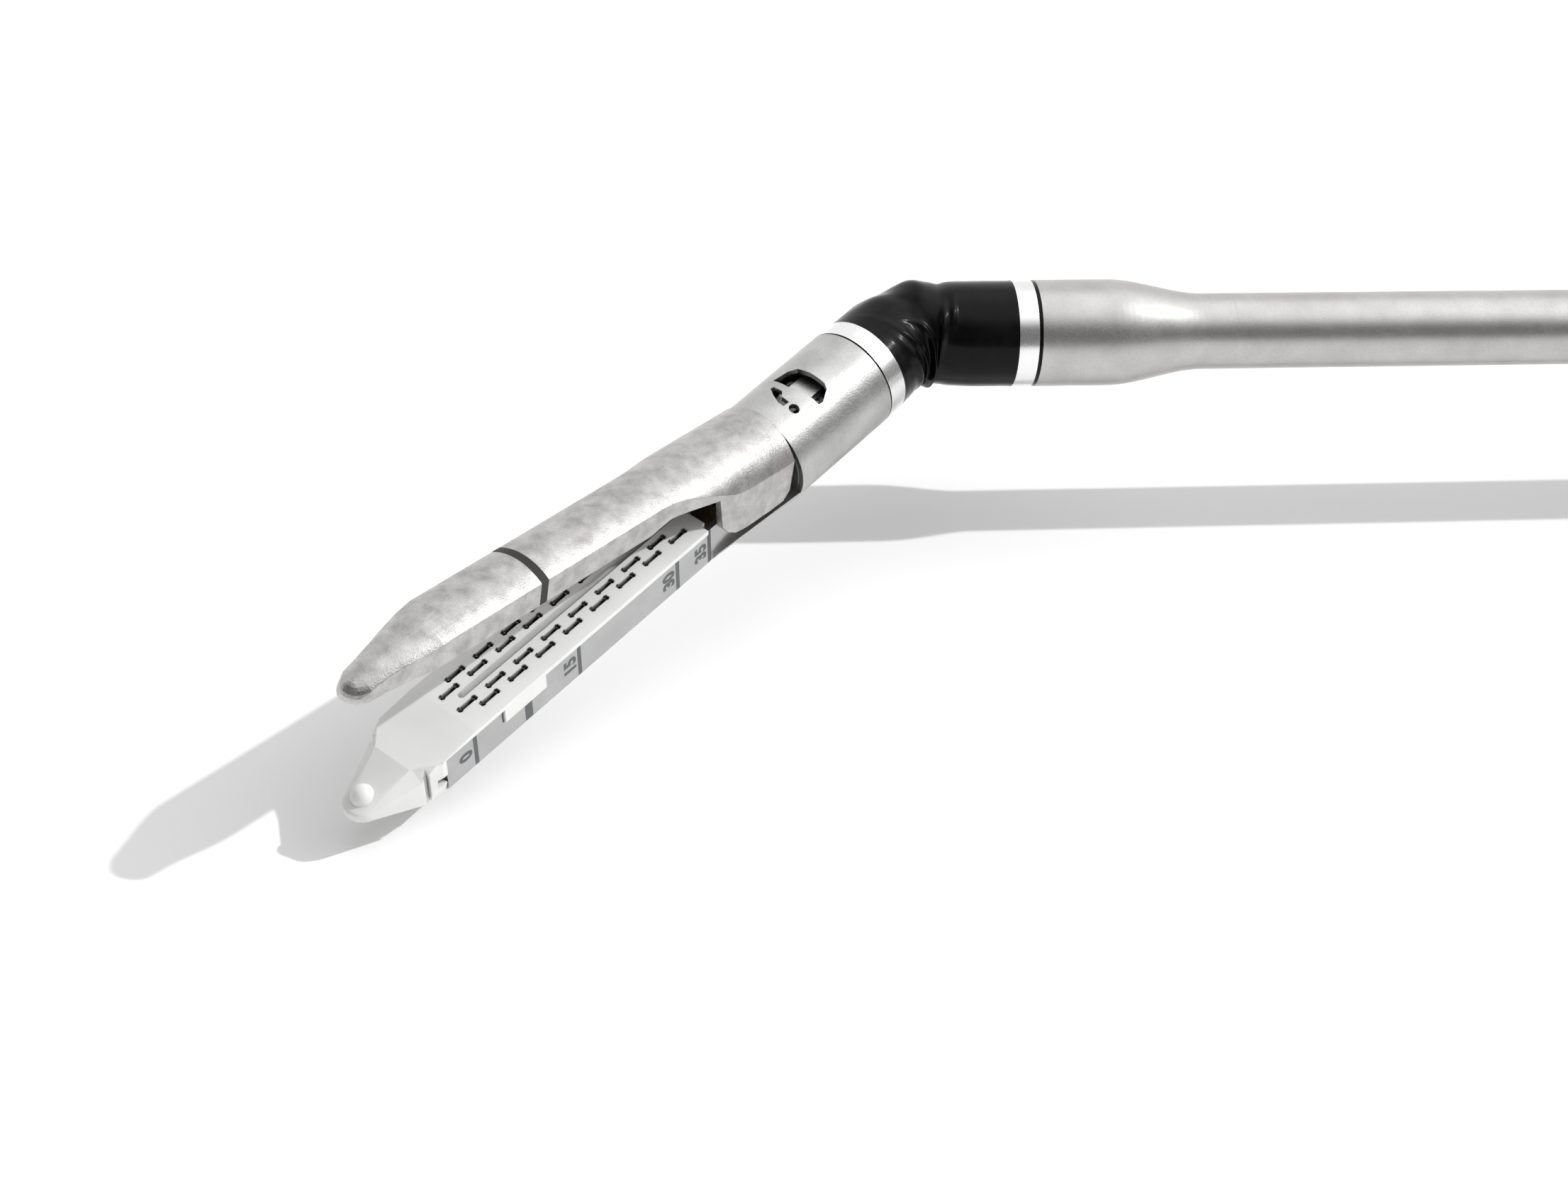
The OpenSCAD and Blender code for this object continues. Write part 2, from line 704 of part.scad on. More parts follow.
module anvil_side(end_s)
    polygon([
        [heel_start, tube_d], [heel_start, -0.1 * cheek_depth],
        [heel_start + 0.6 * cheek_round_r, -0.75 * cheek_depth],
        [heel_start + 2 * cheek_round_r, -0.9 * cheek_depth],
        [cheek_front - 2.6 * cheek_round_r, -cheek_depth],
        [cheek_front - 1.3 * cheek_round_r, -0.92 * cheek_depth],
        [cheek_front - 0.5 * cheek_round_r, -0.55 * cheek_depth], [cheek_front, 0],
        [cheek_front + 0.6 * cheek_round_r, anvil_under + step_up],
        [heel_flare_end - cheek_round_r, anvil_under + step_up],
        [heel_flare_end + cheek_round_r, anvil_under],
        [end_s, anvil_under], [end_s, tube_d]
    ]);

module anvil_body(end_s)
    intersection() {
        translate([0, 0, anvil_axis_rise]) rod_x(heel_start, end_s, anvil_back_r);
        translate([0, 0, -tube_d]) linear_extrude(2 * tube_d) anvil_plan(end_s);
        across_y(tube_r) anvil_side(end_s);
    }

tip_slice = 0.1;
tip_drop = 0.6;
tip_fall = 2.35;
tip_steps = 5;
tip_back_shares = [1, 0.9, 0.75, 0.62, 0.52, 0.45];

// A slice across the tip. t is 0 where the tip begins and 1 where its round end begins.
module tip_slice_at(t, back_r) {
    half = anvil_half - (anvil_half - tip_r) * ease(t);
    top = anvil_axis_rise + anvil_back_r - tip_fall * t * (0.55 + 0.45 * t);
    translate([tip_start + (tip_len - tip_r) * t - tip_slice, 0, 0]) intersection() {
        translate([0, 0, top - back_r]) rod_x(0, tip_slice, back_r, $fn = 64);
        mid_box(0, tip_slice, half, anvil_under - tip_drop * t, tube_d);
    }
}

module anvil_tip() {
    for (i = [0 : tip_steps - 1])
        hull() {
            tip_slice_at(i / tip_steps, anvil_back_r * tip_back_shares[i]);
            tip_slice_at((i + 1) / tip_steps, anvil_back_r * tip_back_shares[i + 1]);
        }
    hull() {
        tip_slice_at(1, anvil_back_r * tip_back_shares[tip_steps]);
        intersection() {
            translate([tip_end - tip_r, 0, anvil_under - tip_drop]) sphere(r = tip_r, $fn = 32);
            mid_box(tip_end - tip_r, tip_end + cut, anvil_half, anvil_under - tip_drop, tube_d);
        }
    }
}

anvil_pocket_depth = 0.25;

module anvil() color("silver") in_anvil() difference() {
    union() {
        anvil_body(tip_start);
        anvil_tip();
    }
    // hollow heel over the channel, the yoke and the parked knife
    mid_box(heel_start - cut, heel_flare_end - cheek_round_r, cheek_in, -tube_r, anvil_under + step_up);
    mid_box(heel_start - cut, heel_flare_end - 2 * cheek_round_r, cheek_in * 0.8, -tube_r, heel_roof);
    // slot for the knife
    mid_box(heel_start, knife_slot_end + knife_slot_w, knife_slot_w / 2, -tube_r, anvil_slot_top);
    // shallow pockets that curl the staples
    pocket_places()
        translate([-pocket_len / 2, -pocket_w / 2, anvil_under - cut])
            cube([pocket_len, pocket_w, cut + anvil_pocket_depth]);
    // blind bores for the hinge pins and the closing pin
    rod_y(hinge_s, hinge_w, -hinge_pin_out - run_gap, hinge_pin_out + run_gap, hinge_pin_r + run_gap);
    closing_pin_at()
        rod_y(0, 0, -closing_pin_half - seat_gap, closing_pin_half + seat_gap, closing_pin_r + seat_gap);
}

closing_pin_seat = 0.55;
closing_pin_half = cheek_in + closing_pin_seat;
module closing_pin_at()
    translate([hinge_s, 0, hinge_w]) rotate([0, jaw_open / 2, 0]) translate([0, 0, closing_arm]) children();

module closing_pin() color("gray") in_anvil()
    closing_pin_at() rod_y(0, 0, -closing_pin_half, closing_pin_half, closing_pin_r);

module anvil_hinge_pins() color("gray") in_jaw()
    for (side = [0, 1]) mirror([0, side, 0])
        rod_y(hinge_s, hinge_w, hinge_pin_in, hinge_pin_out, hinge_pin_r);

// Jaw tube

yoke_pin_s = hinge_s - closing_arm * sin(jaw_open / 2);
yoke_pin_w = hinge_w + closing_arm;
yoke_eye_len = 1.6;
yoke_end = yoke_pin_s + yoke_eye_len;
yoke_slot_gap = 0.25;
yoke_slot_half_h = closing_pin_r + yoke_slot_gap;
yoke_head_step = 1;
yoke_head_high = yoke_high - yoke_head_step;

module closing_yoke() color("silver") in_jaw() difference() {
    union() {
        mid_box(yoke_start, yoke_end, yoke_w / 2, yoke_low, yoke_high);
        mid_box(yoke_start, yoke_start + yoke_head_len, yoke_head_w / 2, yoke_low, yoke_head_high);
        for (side = [-1, 1])
            translate([yoke_start + yoke_head_len, side * (yoke_head_w / 2 - crimp_r), yoke_head_high])
                sphere(r = crimp_r);
    }
    mid_box(yoke_pin_s - closing_pin_r - run_gap, yoke_pin_s + closing_pin_r + run_gap, yoke_w,
        yoke_pin_w - yoke_slot_half_h, yoke_pin_w + yoke_slot_half_h);
}

wire_place_shares = [0.857, 0.515];
wire_place = wire_ring_r * wire_place_shares;

module closing_wires() color("gray") in_jaw()
    for (side = [-1, 1])
        wire([
            [wrist_base_gap, side * wire_place.x, wire_place.y],
            [clevis_start + clevis_tail_len + 2 * wire_d, side * wire_place.x, wire_place.y],
            [yoke_start - seat_gap, side * (yoke_head_w / 2 - crimp_r), yoke_low + 2 * wire_d]
        ], wire_r);

module output_shaft() color("silver") in_jaw()
    rod_x(wrist_base_gap, bulkhead_start + bulkhead_len - side_gap, core_r);

module output_gear() color("darkgoldenrod") in_jaw()
    gear_x(jaw_gear_start, jaw_gear_len, jaw_gear_teeth, jaw_gear_module, core_r + seat_gap, -90);

module bearing_bulkhead() color("slategray") in_jaw() difference() {
    rod_x(bulkhead_start, clevis_end, clevis_bore_r - seat_gap);
    rod_x(bulkhead_start - cut, clevis_end - 2 * seat_gap, core_r + run_gap);
    translate([0, 0, -screw_drop]) rod_x(bulkhead_start - cut, clevis_end + cut, screw_r + run_gap);
    mid_box(bulkhead_start - cut, clevis_end + cut, yoke_w / 2 + side_gap, yoke_low - side_gap, tube_r);
}

window_set_back = 6.6;
window_start = clevis_start + window_set_back;
window_bridge = 1;
small_window_start = window_start + window_len + window_bridge;
window_depth = clevis_bore_r * 0.55;

module window_outline() {
    half = window_w / 2;
    polygon([
        [window_start + window_len, -0.94 * half], [window_start + 0.35 * window_len, -0.8 * half],
        [window_start + 0.06 * window_len, -0.55 * half], [window_start, 0], [window_start, 0.62 * half],
        [window_start + 0.13 * window_len, 0.83 * half], [window_start + 0.62 * window_len, 1.05 * half],
        [window_start + 0.85 * window_len, 1.03 * half], [window_start + 0.85 * window_len, 0.8 * half],
        [window_start + 0.94 * window_len, 0.28 * half], [window_start + 1.08 * window_len, -0.2 * half]
    ]);
}

module small_window_outline() {
    half = window_w / 2;
    translate([small_window_start, 0]) {
        polygon([
            [0, -0.63 * half], [0.12 * half, -0.68 * half], [0.4 * half, -0.3 * half],
            [0.58 * half, 0.05 * half], [0.58 * half, 0.3 * half], [0.3 * half, 0.32 * half],
            [0.28 * half, -0.02 * half], [0.05 * half, -0.2 * half]
        ]);
        translate([0.38 * half, 0.62 * half]) circle(r = 0.19 * half);
    }
}

module clevis_tube() color("silver") in_jaw() difference() {
    ring_x(clevis_start, clevis_end, tube_r, clevis_bore_r);
    translate([0, 0, window_depth]) linear_extrude(tube_r) {
        window_outline();
        small_window_outline();
    }
}

gasket_step = 0.12;

module distal_gasket() color("black") in_jaw()
    ring_x(front_ring_end, clevis_start, tube_r - gasket_step, wrist_body_r + seat_gap);

module distal_clamp_ring() color("white") in_jaw()
    ring_x(ring_front, front_ring_end, tube_r, wrist_body_r + seat_gap);

// Wrist

module wrist_clevis(tail_end)
    difference() {
        union() {
            rod_x(wrist_base_gap, tail_end, wrist_body_r);
            intersection() {
                rod_x(-ear_w, wrist_base_gap + cut, ear_out_r);
                union() {
                    mid_box(0, wrist_base_gap + cut, ear_w / 2, -wrist_body_r, wrist_body_r);
                    rod_z(0, 0, -wrist_body_r, wrist_body_r, ear_w / 2);
                }
            }
        }
        rod_x(-wrist_body_r, wrist_base_gap, ear_in_r);
        rod_z(0, 0, -wrist_body_r, wrist_body_r, wrist_pin_r + run_gap);
    }

module distal_wrist_clevis() color("silver") in_jaw() difference() {
    union() {
        rotate([90, 0, 0]) wrist_clevis(clevis_start + cut);
        rod_x(clevis_start + seat_gap, clevis_start + clevis_tail_len, clevis_bore_r - seat_gap);
    }
    rod_x(wrist_base_gap - cut, clevis_start + clevis_tail_len + cut, core_r + run_gap);
    for (side = [-1, 1]) translate([0, side * wire_place.x, wire_place.y])
        rod_x(wrist_base_gap - cut, clevis_start + clevis_tail_len + cut, wire_r + run_gap);
}

module gimbal_ring() color("gray") in_gimbal() difference() {
    intersection() {
        sphere(r = gimbal_r);
        rod_x(-gimbal_len / 2, gimbal_len / 2, tube_r);
    }
    rod_x(-tube_r, tube_r, gimbal_bore_r);
    rod_z(0, 0, -tube_r, tube_r, wrist_pin_r + seat_gap);
    rod_y(0, 0, -tube_r, tube_r, wrist_pin_r + seat_gap);
}

// Two pins for the sideways bend and two for the up and down bend
module wrist_pins() color("gray") in_gimbal()
    for (turn = [0 : 90 : 270])
        rotate([turn, 0, 0]) rod_z(0, 0, gimbal_bore_r + side_gap, ear_out_r - side_gap / 2, wrist_pin_r);

clevis_plug_len = 3.4;
clevis_back = reducer_start + clevis_plug_len;

module proximal_wrist_clevis() color("silver") in_shaft() difference() {
    wrist_clevis(clevis_back);
    rod_x(wrist_base_gap - cut, clevis_back + cut, wrist_bore_r);
}

module drive_core() color("dimgray") in_shaft()
    wire([
        [wrist_base_gap, 0, 0], [bend_start, 0, 0], from_jaw([bend_start, 0, 0]),
        from_jaw([wrist_base_gap - seat_gap, 0, 0])
    ], core_r);

module wrist_wire(y, z)
    wire([
        [wrist_base_gap, y, z], [bend_start, y, z], from_jaw([bend_start, -y, z]),
        from_jaw([wrist_base_gap - seat_gap, -y, z])
    ], wire_r);

module wrist_wires() color("gray") in_shaft() {
    wrist_wire(wire_place.x, wire_place.y);
    wrist_wire(-wire_place.x, wire_place.y);
    wrist_wire(0, wire_ring_r);
    wrist_wire(0, -wire_ring_r);
}

// Sleeve: a bent tube with two folds on the inside of the bend

fold_r = 0.95;
fold_ring_r = tube_r - 0.75 * fold_r;
fold_place = 1.5;

module in_bend()
    rotate([0, 0, wrist_yaw / 2]) rotate([0, wrist_pitch / 2, 0]) children();

module sleeve_fold(x)
    in_bend() intersection() {
        translate([x, 0, 0]) rotate([0, 90, 0]) rotate_extrude()
            translate([fold_ring_r, 0]) circle(r = fold_r);
        box(-tube_d, tube_d, -tube_d, -0.25 * tube_r, -tube_d, tube_d);
    }

// The shaft's own direction, or the jaw's when turned by 180 degrees
module sleeve_turn(turn)
    rotate([0, 0, turn == 0 ? 0 : wrist_yaw]) rotate([0, turn == 0 ? 0 : wrist_pitch, 0])
        rotate([0, 0, turn]) children();

// One half of the sleeve: a tube cut off at the bend's middle
module half_sleeve(length, turn)
    intersection() {
        difference() {
            union() {
                sleeve_turn(turn) rod_x(-tube_d, length - seat_gap, sleeve_r);
                sleeve_fold(turn == 0 ? fold_place : -fold_place);
            }
            sleeve_turn(turn) rod_x(-2 * tube_d, length + cut, sleeve_bore_r);
        }
        in_bend() rotate([0, 0, turn]) mid_box(0, 2 * ring_back, 2 * tube_d, -2 * tube_d, 2 * tube_d);
    }

module sleeve_proximal() color([0.05, 0.05, 0.05]) in_shaft() half_sleeve(ring_back, 0);
module sleeve_distal() color([0.05, 0.05, 0.05]) in_shaft() half_sleeve(ring_front, 180);

// Shaft

module proximal_clamp_ring() color("white") in_shaft()
    ring_x(ring_back, back_ring_end, tube_r, wrist_body_r + seat_gap);

module proximal_gasket() color("black") in_shaft()
    ring_x(back_ring_end, reducer_start, tube_r - gasket_step, wrist_body_r + seat_gap);

taper_steps = 16;

// The taper's outline, an S curve from the wide part to the neck
taper_line = [for (i = [0 : taper_steps])
    let (t = i / taper_steps)
    [tube_r + (shaft_r - tube_r) * ease(t), taper_start + reducer_taper_len * t]];

module shaft_reducer() color("silver") in_shaft() difference() {
    rotate([0, 90, 0]) rotate_extrude()
        polygon(concat([[0, reducer_start], [tube_r, reducer_start]], taper_line,
            [[shaft_r, tube_start], [0, tube_start]]));
    rod_x(reducer_start - cut, clevis_back + run_gap, wrist_body_r + seat_gap);
    rod_x(reducer_start - cut, tube_start + cut, shaft_bore_r);
}

tube_back_proud = 0.4;
tube_back = shaft_reach + shaft_plate_start + plate_t + tube_back_proud;

module shaft_tube() color("silver") in_shaft()
    ring_x(tube_start, tube_back, shaft_r, shaft_bore_r);

rod_end_gap = 2.5;
rod_back = shaft_reach + housing_len - shell_wall - cap_plug_len - rod_end_gap;
hex_r = 2;
hex_len = 6;

module drive_rod() color("silver") in_shaft() {
    rod_x(wrist_base_gap + seat_gap, rod_back - hex_len, drive_rod_r);
    translate([rod_back - hex_len, 0, 0]) rotate([0, 90, 0]) cylinder(h = hex_len, r = hex_r, $fn = 6);
}

cable_ring_r = shaft_bore_r - 2 * wire_d;
cable_places = [for (i = [0 : 5]) cable_ring_r * [cos(60 * i + 30), sin(60 * i + 30)]];
bush_len = 2.4;
first_bush_set_back = 2;
cable_front_gap = 1;
cable_tail_len = 2;

module cable_bush(x, r) difference() {
    rod_x(x, x + bush_len, r - seat_gap);
    rod_x(x - cut, x + bush_len + cut, drive_rod_r + run_gap);
    for (c = cable_places) translate([0, c.x, c.y]) rod_x(x - cut, x + bush_len + cut, wire_r + run_gap);
}

module cable_bushes() color("ivory") in_shaft() {
    cable_bush(wrist_base_gap + first_bush_set_back, wrist_bore_r);
    cable_bush((tube_start + shaft_reach) / 2, shaft_bore_r);
    cable_bush(tube_back - bush_len, shaft_bore_r);
}

module shaft_cables() color("gray") in_shaft()
    for (c = cable_places) translate([0, c.x, c.y])
        rod_x(wrist_base_gap + cable_front_gap, tube_back + cable_tail_len, wire_r);

// Drive housing

module roll_gear() color("darkgoldenrod")
    gear_x(roll_gear_start, gear_t, roll_gear_teeth, roll_module, shaft_r + seat_gap, 180 - disc_angle);

module drive_rod_gear() color("darkgoldenrod")
    gear_x(fire_gear_start, gear_t, fire_gear_teeth, fire_module, drive_rod_r + seat_gap, disc_angle);

module fire_gear() color("darkgoldenrod") translate([0, fire_disc_at.x, fire_disc_at.y])
    gear_x(fire_gear_start, gear_t, fire_gear_teeth, fire_module, disc_shaft_r + seat_gap,
        180 + disc_angle + 180 / fire_gear_teeth);

disc_dog_r = 1.3;
disc_front = 0.4;

module drive_disc(place)
    translate([0, place.x, place.y]) {
        difference() {
            rod_x(disc_front, disc_back, disc_r_outer);
            for (side = [-1, 1]) translate([0, side * disc_r_outer * 0.62, 0])
                rod_x(disc_front - cut, disc_front + disc_dog_r, disc_dog_r);
        }
        rod_x(disc_back, rear_plate_start + plate_t - side_gap, disc_shaft_r);
    }

module drum(place, r)
    translate([0, place.x, place.y]) {
        rod_x(drum_start, drum_start + drum_len, r);
        for (x = [drum_start - wire_d, drum_start + drum_len]) rod_x(x, x + wire_d, r + 2 * wire_d);
    }

// The roll disc's shaft has its pinion moulded on
module roll_disc() color("dimgray") {
    drive_disc(roll_disc_at);
    translate([0, roll_disc_at.x, roll_disc_at.y])
        gear_x(roll_gear_start, gear_t, roll_pinion_teeth, roll_module, disc_shaft_r / 2,
            -disc_angle + 180 / roll_pinion_teeth);
}

module fire_disc() color("dimgray") drive_disc(fire_disc_at);

module yaw_disc() color("dimgray") {
    drive_disc(yaw_disc_at);
    drum(yaw_disc_at, drum_r);
}

module pitch_disc() color("dimgray") {
    drive_disc(pitch_disc_at);
    drum(pitch_disc_at, drum_r);
}

module closing_disc() color("dimgray") {
    drive_disc(closing_disc_at);
    drum(closing_disc_at, closing_drum_r);
}

// A rectangle with round corners, about the shaft's axis
module round_rect(w, h, r) {
    square([w - 2 * r, h], center = true);
    square([w, h - 2 * r], center = true);
    for (y = [-1, 1], z = [-1, 1]) translate([y * (w / 2 - r), z * (h / 2 - r)]) circle(r = r);
}

housing_h = 2 * rest_h;
housing_screw_r = 1.2;
screw_head_r = 2.2;
screw_head_len = 1.6;
screw_head_back = 2;
screw_inset = 0.6 * corner_r;
boss_r = 3;
boss_len = 8;

module screw_places()
    for (y = [-1, 1], z = [-1, 1])
        translate([0, y * (housing_w / 2 - screw_inset), z * (rest_h - screw_inset)]) children();

bush_t = 1.6;
bush_r = shaft_r + bush_t;
bush_flange_t = 1;
bush_flange_r = bush_r + bush_flange_t;

module disc_bores(x0, x1)
    for (place = disc_places) translate([0, place.x, place.y])
        rod_x(x0 - cut, x1 + cut, disc_shaft_r + run_gap);

module front_plate() color("darkgray") difference() {
    along_x(0, front_t) round_rect(housing_w, housing_h, corner_r);
    disc_bores(0, front_t);
    for (place = disc_places) translate([0, place.x, place.y])
        rod_x(-cut, disc_back + side_gap, disc_r_outer + side_gap);
    rod_x(-cut, front_t + cut, bush_r + seat_gap);
    screw_places() {
        rod_x(-cut, front_t + cut, housing_screw_r + seat_gap);
        rod_x(-cut, screw_head_back, screw_head_r + side_gap);
    }
}

plate_w = housing_w - 2 * shell_wall - 2 * plate_margin;
plate_h = housing_h - 2 * shell_wall - 2 * plate_margin;

module inner_plate() color("darkgray") difference() {
    along_x(shaft_plate_start, shaft_plate_start + plate_t)
        round_rect(plate_w, plate_h, corner_r - shell_wall);
    disc_bores(shaft_plate_start, shaft_plate_start + plate_t);
    rod_x(shaft_plate_start - cut, shaft_plate_start + plate_t + cut, bush_r + seat_gap);
    standoff_holes(shaft_plate_start);
}

module rear_bearing_plate() color("darkgray") difference() {
    along_x(rear_plate_start, rear_plate_start + plate_t) round_rect(plate_w, plate_h, corner_r - shell_wall);
    disc_bores(rear_plate_start, rear_plate_start + plate_t);
    rod_x(rear_plate_start - cut, rear_plate_start + plate_t + cut, drive_rod_r + run_gap);
    standoff_holes(rear_plate_start);
}

standoff_r = 2;
standoff_places = [for (y = [-1, 1], z = [-1, 1])
    [y * (plate_w / 2 - 2 * standoff_r), z * (plate_h / 2 - 4 * standoff_r)]];

module standoff_holes(x)
    for (place = standoff_places) translate([0, place.x, place.y])
        rod_x(x - cut, x + plate_t + cut, standoff_r + seat_gap);

module standoffs() color("silver")
    for (place = standoff_places) translate([0, place.x, place.y])
        rod_x(front_t, rear_plate_start + plate_t, standoff_r);

module shaft_bushes() color("ivory") {
    ring_x(0.5 * disc_front, front_t, bush_r, shaft_r + run_gap);
    ring_x(front_t, front_t + bush_flange_t, bush_flange_r, shaft_r + run_gap);
    ring_x(shaft_plate_start, shaft_plate_start + plate_t, bush_r, shaft_r + run_gap);
}

guide_len = 2;
guide_lip = 0.8;
guide_start = shaft_plate_start + plate_t;

module cable_guide() color("ivory") difference() {
    rod_x(guide_start, guide_start + guide_len, bush_flange_r);
    cone_x(guide_start - cut / 5, guide_start + guide_len + cut / 5,
        shaft_r + side_gap, bush_flange_r - guide_lip);
}

// Cables from the guide to the drums, one on each side of a drum
drum_cable_x = drum_start + drum_len / 2;
cable_in_share = 0.97;
cable_side_share = 0.2;

// Where a line from p just touches a circle of radius r about [d, 0]
function touch_point(p, d, r) =
    let (reach = norm([d - p.x, p.y]), len = sqrt(reach * reach - r * r))
    let (turn = atan2(-p.y, d - p.x) + asin(r / reach))
    [p.x + len * cos(turn), p.y + len * sin(turn)];

module drum_cable_pair(place, r) {
    from = cable_ring_r * [cable_in_share, cable_side_share];
    to = touch_point(from, norm(place), r + wire_r + run_gap);
    for (side = [-1, 1])
        rotate([atan2(place.y, place.x), 0, 0])
            wire([
                [tube_back - shaft_reach + cable_tail_len + run_gap, from.x, side * from.y],
                [drum_cable_x, to.x, side * to.y]
            ], wire_r);
}

module drum_cables() color("gray") {
    drum_cable_pair(yaw_disc_at, drum_r);
    drum_cable_pair(pitch_disc_at, drum_r);
    drum_cable_pair(closing_disc_at, closing_drum_r);
}

// The housing's outer form, less a margin all round
tail_in = 7;

module housing_form(margin) {
    w = housing_w - 2 * margin;
    h = housing_h - 2 * margin;
    r = corner_r - margin;
    along_x(front_t, housing_len - tail_len) round_rect(w, h, r);
    hull() {
        along_x(housing_len - tail_len - cut, housing_len - tail_len) round_rect(w, h, r, $fn = 32);
        along_x(housing_len - margin - cut, housing_len - margin)
            round_rect(w - 2 * tail_in, h - 2 * tail_in, r, $fn = 32);
    }
}

cap_r = 5;

module housing_shell(side) difference() {
    intersection() {
        housing_form(0);
        mid_box(front_t, housing_len, housing_w, side > 0 ? 0 : -housing_h, side > 0 ? housing_h : 0);
    }
    translate([-cut, 0, 0]) housing_form(shell_wall);
    mid_box(front_t - cut, front_t + cut, housing_w / 2 - shell_wall,
        -rest_h + shell_wall, rest_h - shell_wall);
    // windows for the release buttons
    mid_box(button_start - side_gap, button_start + button_len + side_gap, housing_w,
        -button_h / 2 - side_gap, button_h / 2 + side_gap);
    // hole for the cap over the hand release
    rod_x(0, housing_len + cut, cap_r + seat_gap);
}

// Bosses in the shell's corners for the housing's screws
module screw_bosses(side) intersection() {
    difference() {
        screw_places() rod_x(front_t, front_t + boss_len, boss_r);
        screw_places() rod_x(front_t - cut, front_t + boss_len + cut, housing_screw_r + seat_gap);
    }
    mid_box(front_t, housing_len, housing_w, side > 0 ? 0 : -housing_h, side > 0 ? housing_h : 0);
}

spring_post_set_in = 11;
spring_post_y = housing_w / 2 - spring_post_set_in;
spring_wire_r = 0.3;
spring_r = 2.2;
button_in = housing_w / 2 - shell_wall - side_gap - button_lip;
post_t = 2;

module housing_lower_shell() color("gainsboro") {
    housing_shell(-1);
    screw_bosses(-1);
    // posts that the button springs push on
    for (side = [-1, 1]) translate([0, side * (spring_post_y - post_t / 2), 0])
        mid_box(button_start + button_len / 2 - spring_r, button_start + button_len / 2 + spring_r,
            post_t / 2, -rest_h + shell_wall / 2, spring_r);
}

module housing_upper_shell() color("gainsboro") {
    housing_shell(1);
    screw_bosses(1);
}

module release_button(side) mirror([0, side > 0 ? 0 : 1, 0]) {
    box(button_start, button_start + button_len, housing_w / 2 - shell_wall - side_gap,
        housing_w / 2 + button_proud, -button_h / 2, button_h / 2);
    box(button_start - button_lip, button_start + button_len + button_lip,
        button_in, housing_w / 2 - shell_wall - side_gap,
        -button_h / 2 - button_lip, button_h / 2 + button_lip);
}

module release_button_left() color("steelblue") release_button(-1);
module release_button_right() color("steelblue") release_button(1);

spring_turns = 5;
spring_sides = 6;
spring_rings = 8;

module coil(r, wire, height, turns) {
    steps = turns * spring_rings;
    points = [for (i = [0 : steps]) for (k = [0 : spring_sides - 1])
        let (a = 360 * i / spring_rings, b = 360 * k / spring_sides, d = r + wire * cos(b))
        [d * cos(a), d * sin(a), wire + (height - 2 * wire) * i / steps + wire * sin(b)]];
    sides = [for (i = [0 : steps - 1]) for (k = [0 : spring_sides - 1])
        let (k2 = (k + 1) % spring_sides, p = i * spring_sides, q = p + spring_sides)
        for (f = [[p + k, p + k2, q + k2], [p + k, q + k2, q + k]]) f];
    top = steps * spring_sides;
    start_cap = [for (k = [1 : spring_sides - 2]) [0, k + 1, k]];
    end_cap = [for (k = [1 : spring_sides - 2]) [top, top + k, top + k + 1]];
    polyhedron(points, concat(sides, start_cap, end_cap));
}

spring_gap = 0.05;

module button_spring(side) mirror([0, side > 0 ? 0 : 1, 0])
    translate([button_start + button_len / 2, spring_post_y + spring_gap, 0]) rotate([-90, 0, 0])
        coil(spring_r - spring_wire_r, spring_wire_r,
            button_in - spring_post_y - 2 * spring_gap, spring_turns);

module button_spring_left() color("silver") button_spring(-1);
module button_spring_right() color("silver") button_spring(1);

module release_cap() color("dimgray") {
    rod_x(housing_len - shell_wall, housing_len, cap_r);
    rod_x(housing_len - shell_wall - cap_plug_len, housing_len - shell_wall, cap_r - cap_step);
}

module housing_screws() color("silver")
    screw_places() {
        rod_x(screw_head_back, front_t + boss_len, housing_screw_r);
        difference() {
            rod_x(screw_head_back - screw_head_len, screw_head_back, screw_head_r);
            translate([screw_head_back - 2 * screw_head_len, 0, 0]) rotate([0, 90, 0])
                cylinder(h = 1.5 * screw_head_len, r = screw_head_r / 2, $fn = 6);
        }
    }

cartridge_channel();
cartridge_body();
cartridge_pan();
staples();
staple_pushers();
wedge_sled();
knife();
drive_nut();
lead_screw();
screw_gear();
screw_end_bearing();
anvil();
anvil_hinge_pins();
closing_pin();
closing_yoke();
closing_wires();
output_shaft();
output_gear();
bearing_bulkhead();
clevis_tube();
distal_gasket();
distal_clamp_ring();
distal_wrist_clevis();
gimbal_ring();
wrist_pins();
proximal_wrist_clevis();
drive_core();
wrist_wires();
sleeve_distal();
sleeve_proximal();
proximal_clamp_ring();
proximal_gasket();
shaft_reducer();
shaft_tube();
drive_rod();
cable_bushes();
shaft_cables();
roll_gear();
drive_rod_gear();
shaft_bushes();
front_plate();
inner_plate();
rear_bearing_plate();
standoffs();
roll_disc();
fire_disc();
fire_gear();
yaw_disc();
pitch_disc();
closing_disc();
cable_guide();
drum_cables();
housing_lower_shell();
housing_upper_shell();
housing_screws();
release_button_left();
release_button_right();
button_spring_left();
button_spring_right();
release_cap();
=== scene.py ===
import math

import bmesh
import bpy
from mathutils import Matrix, Vector, noise


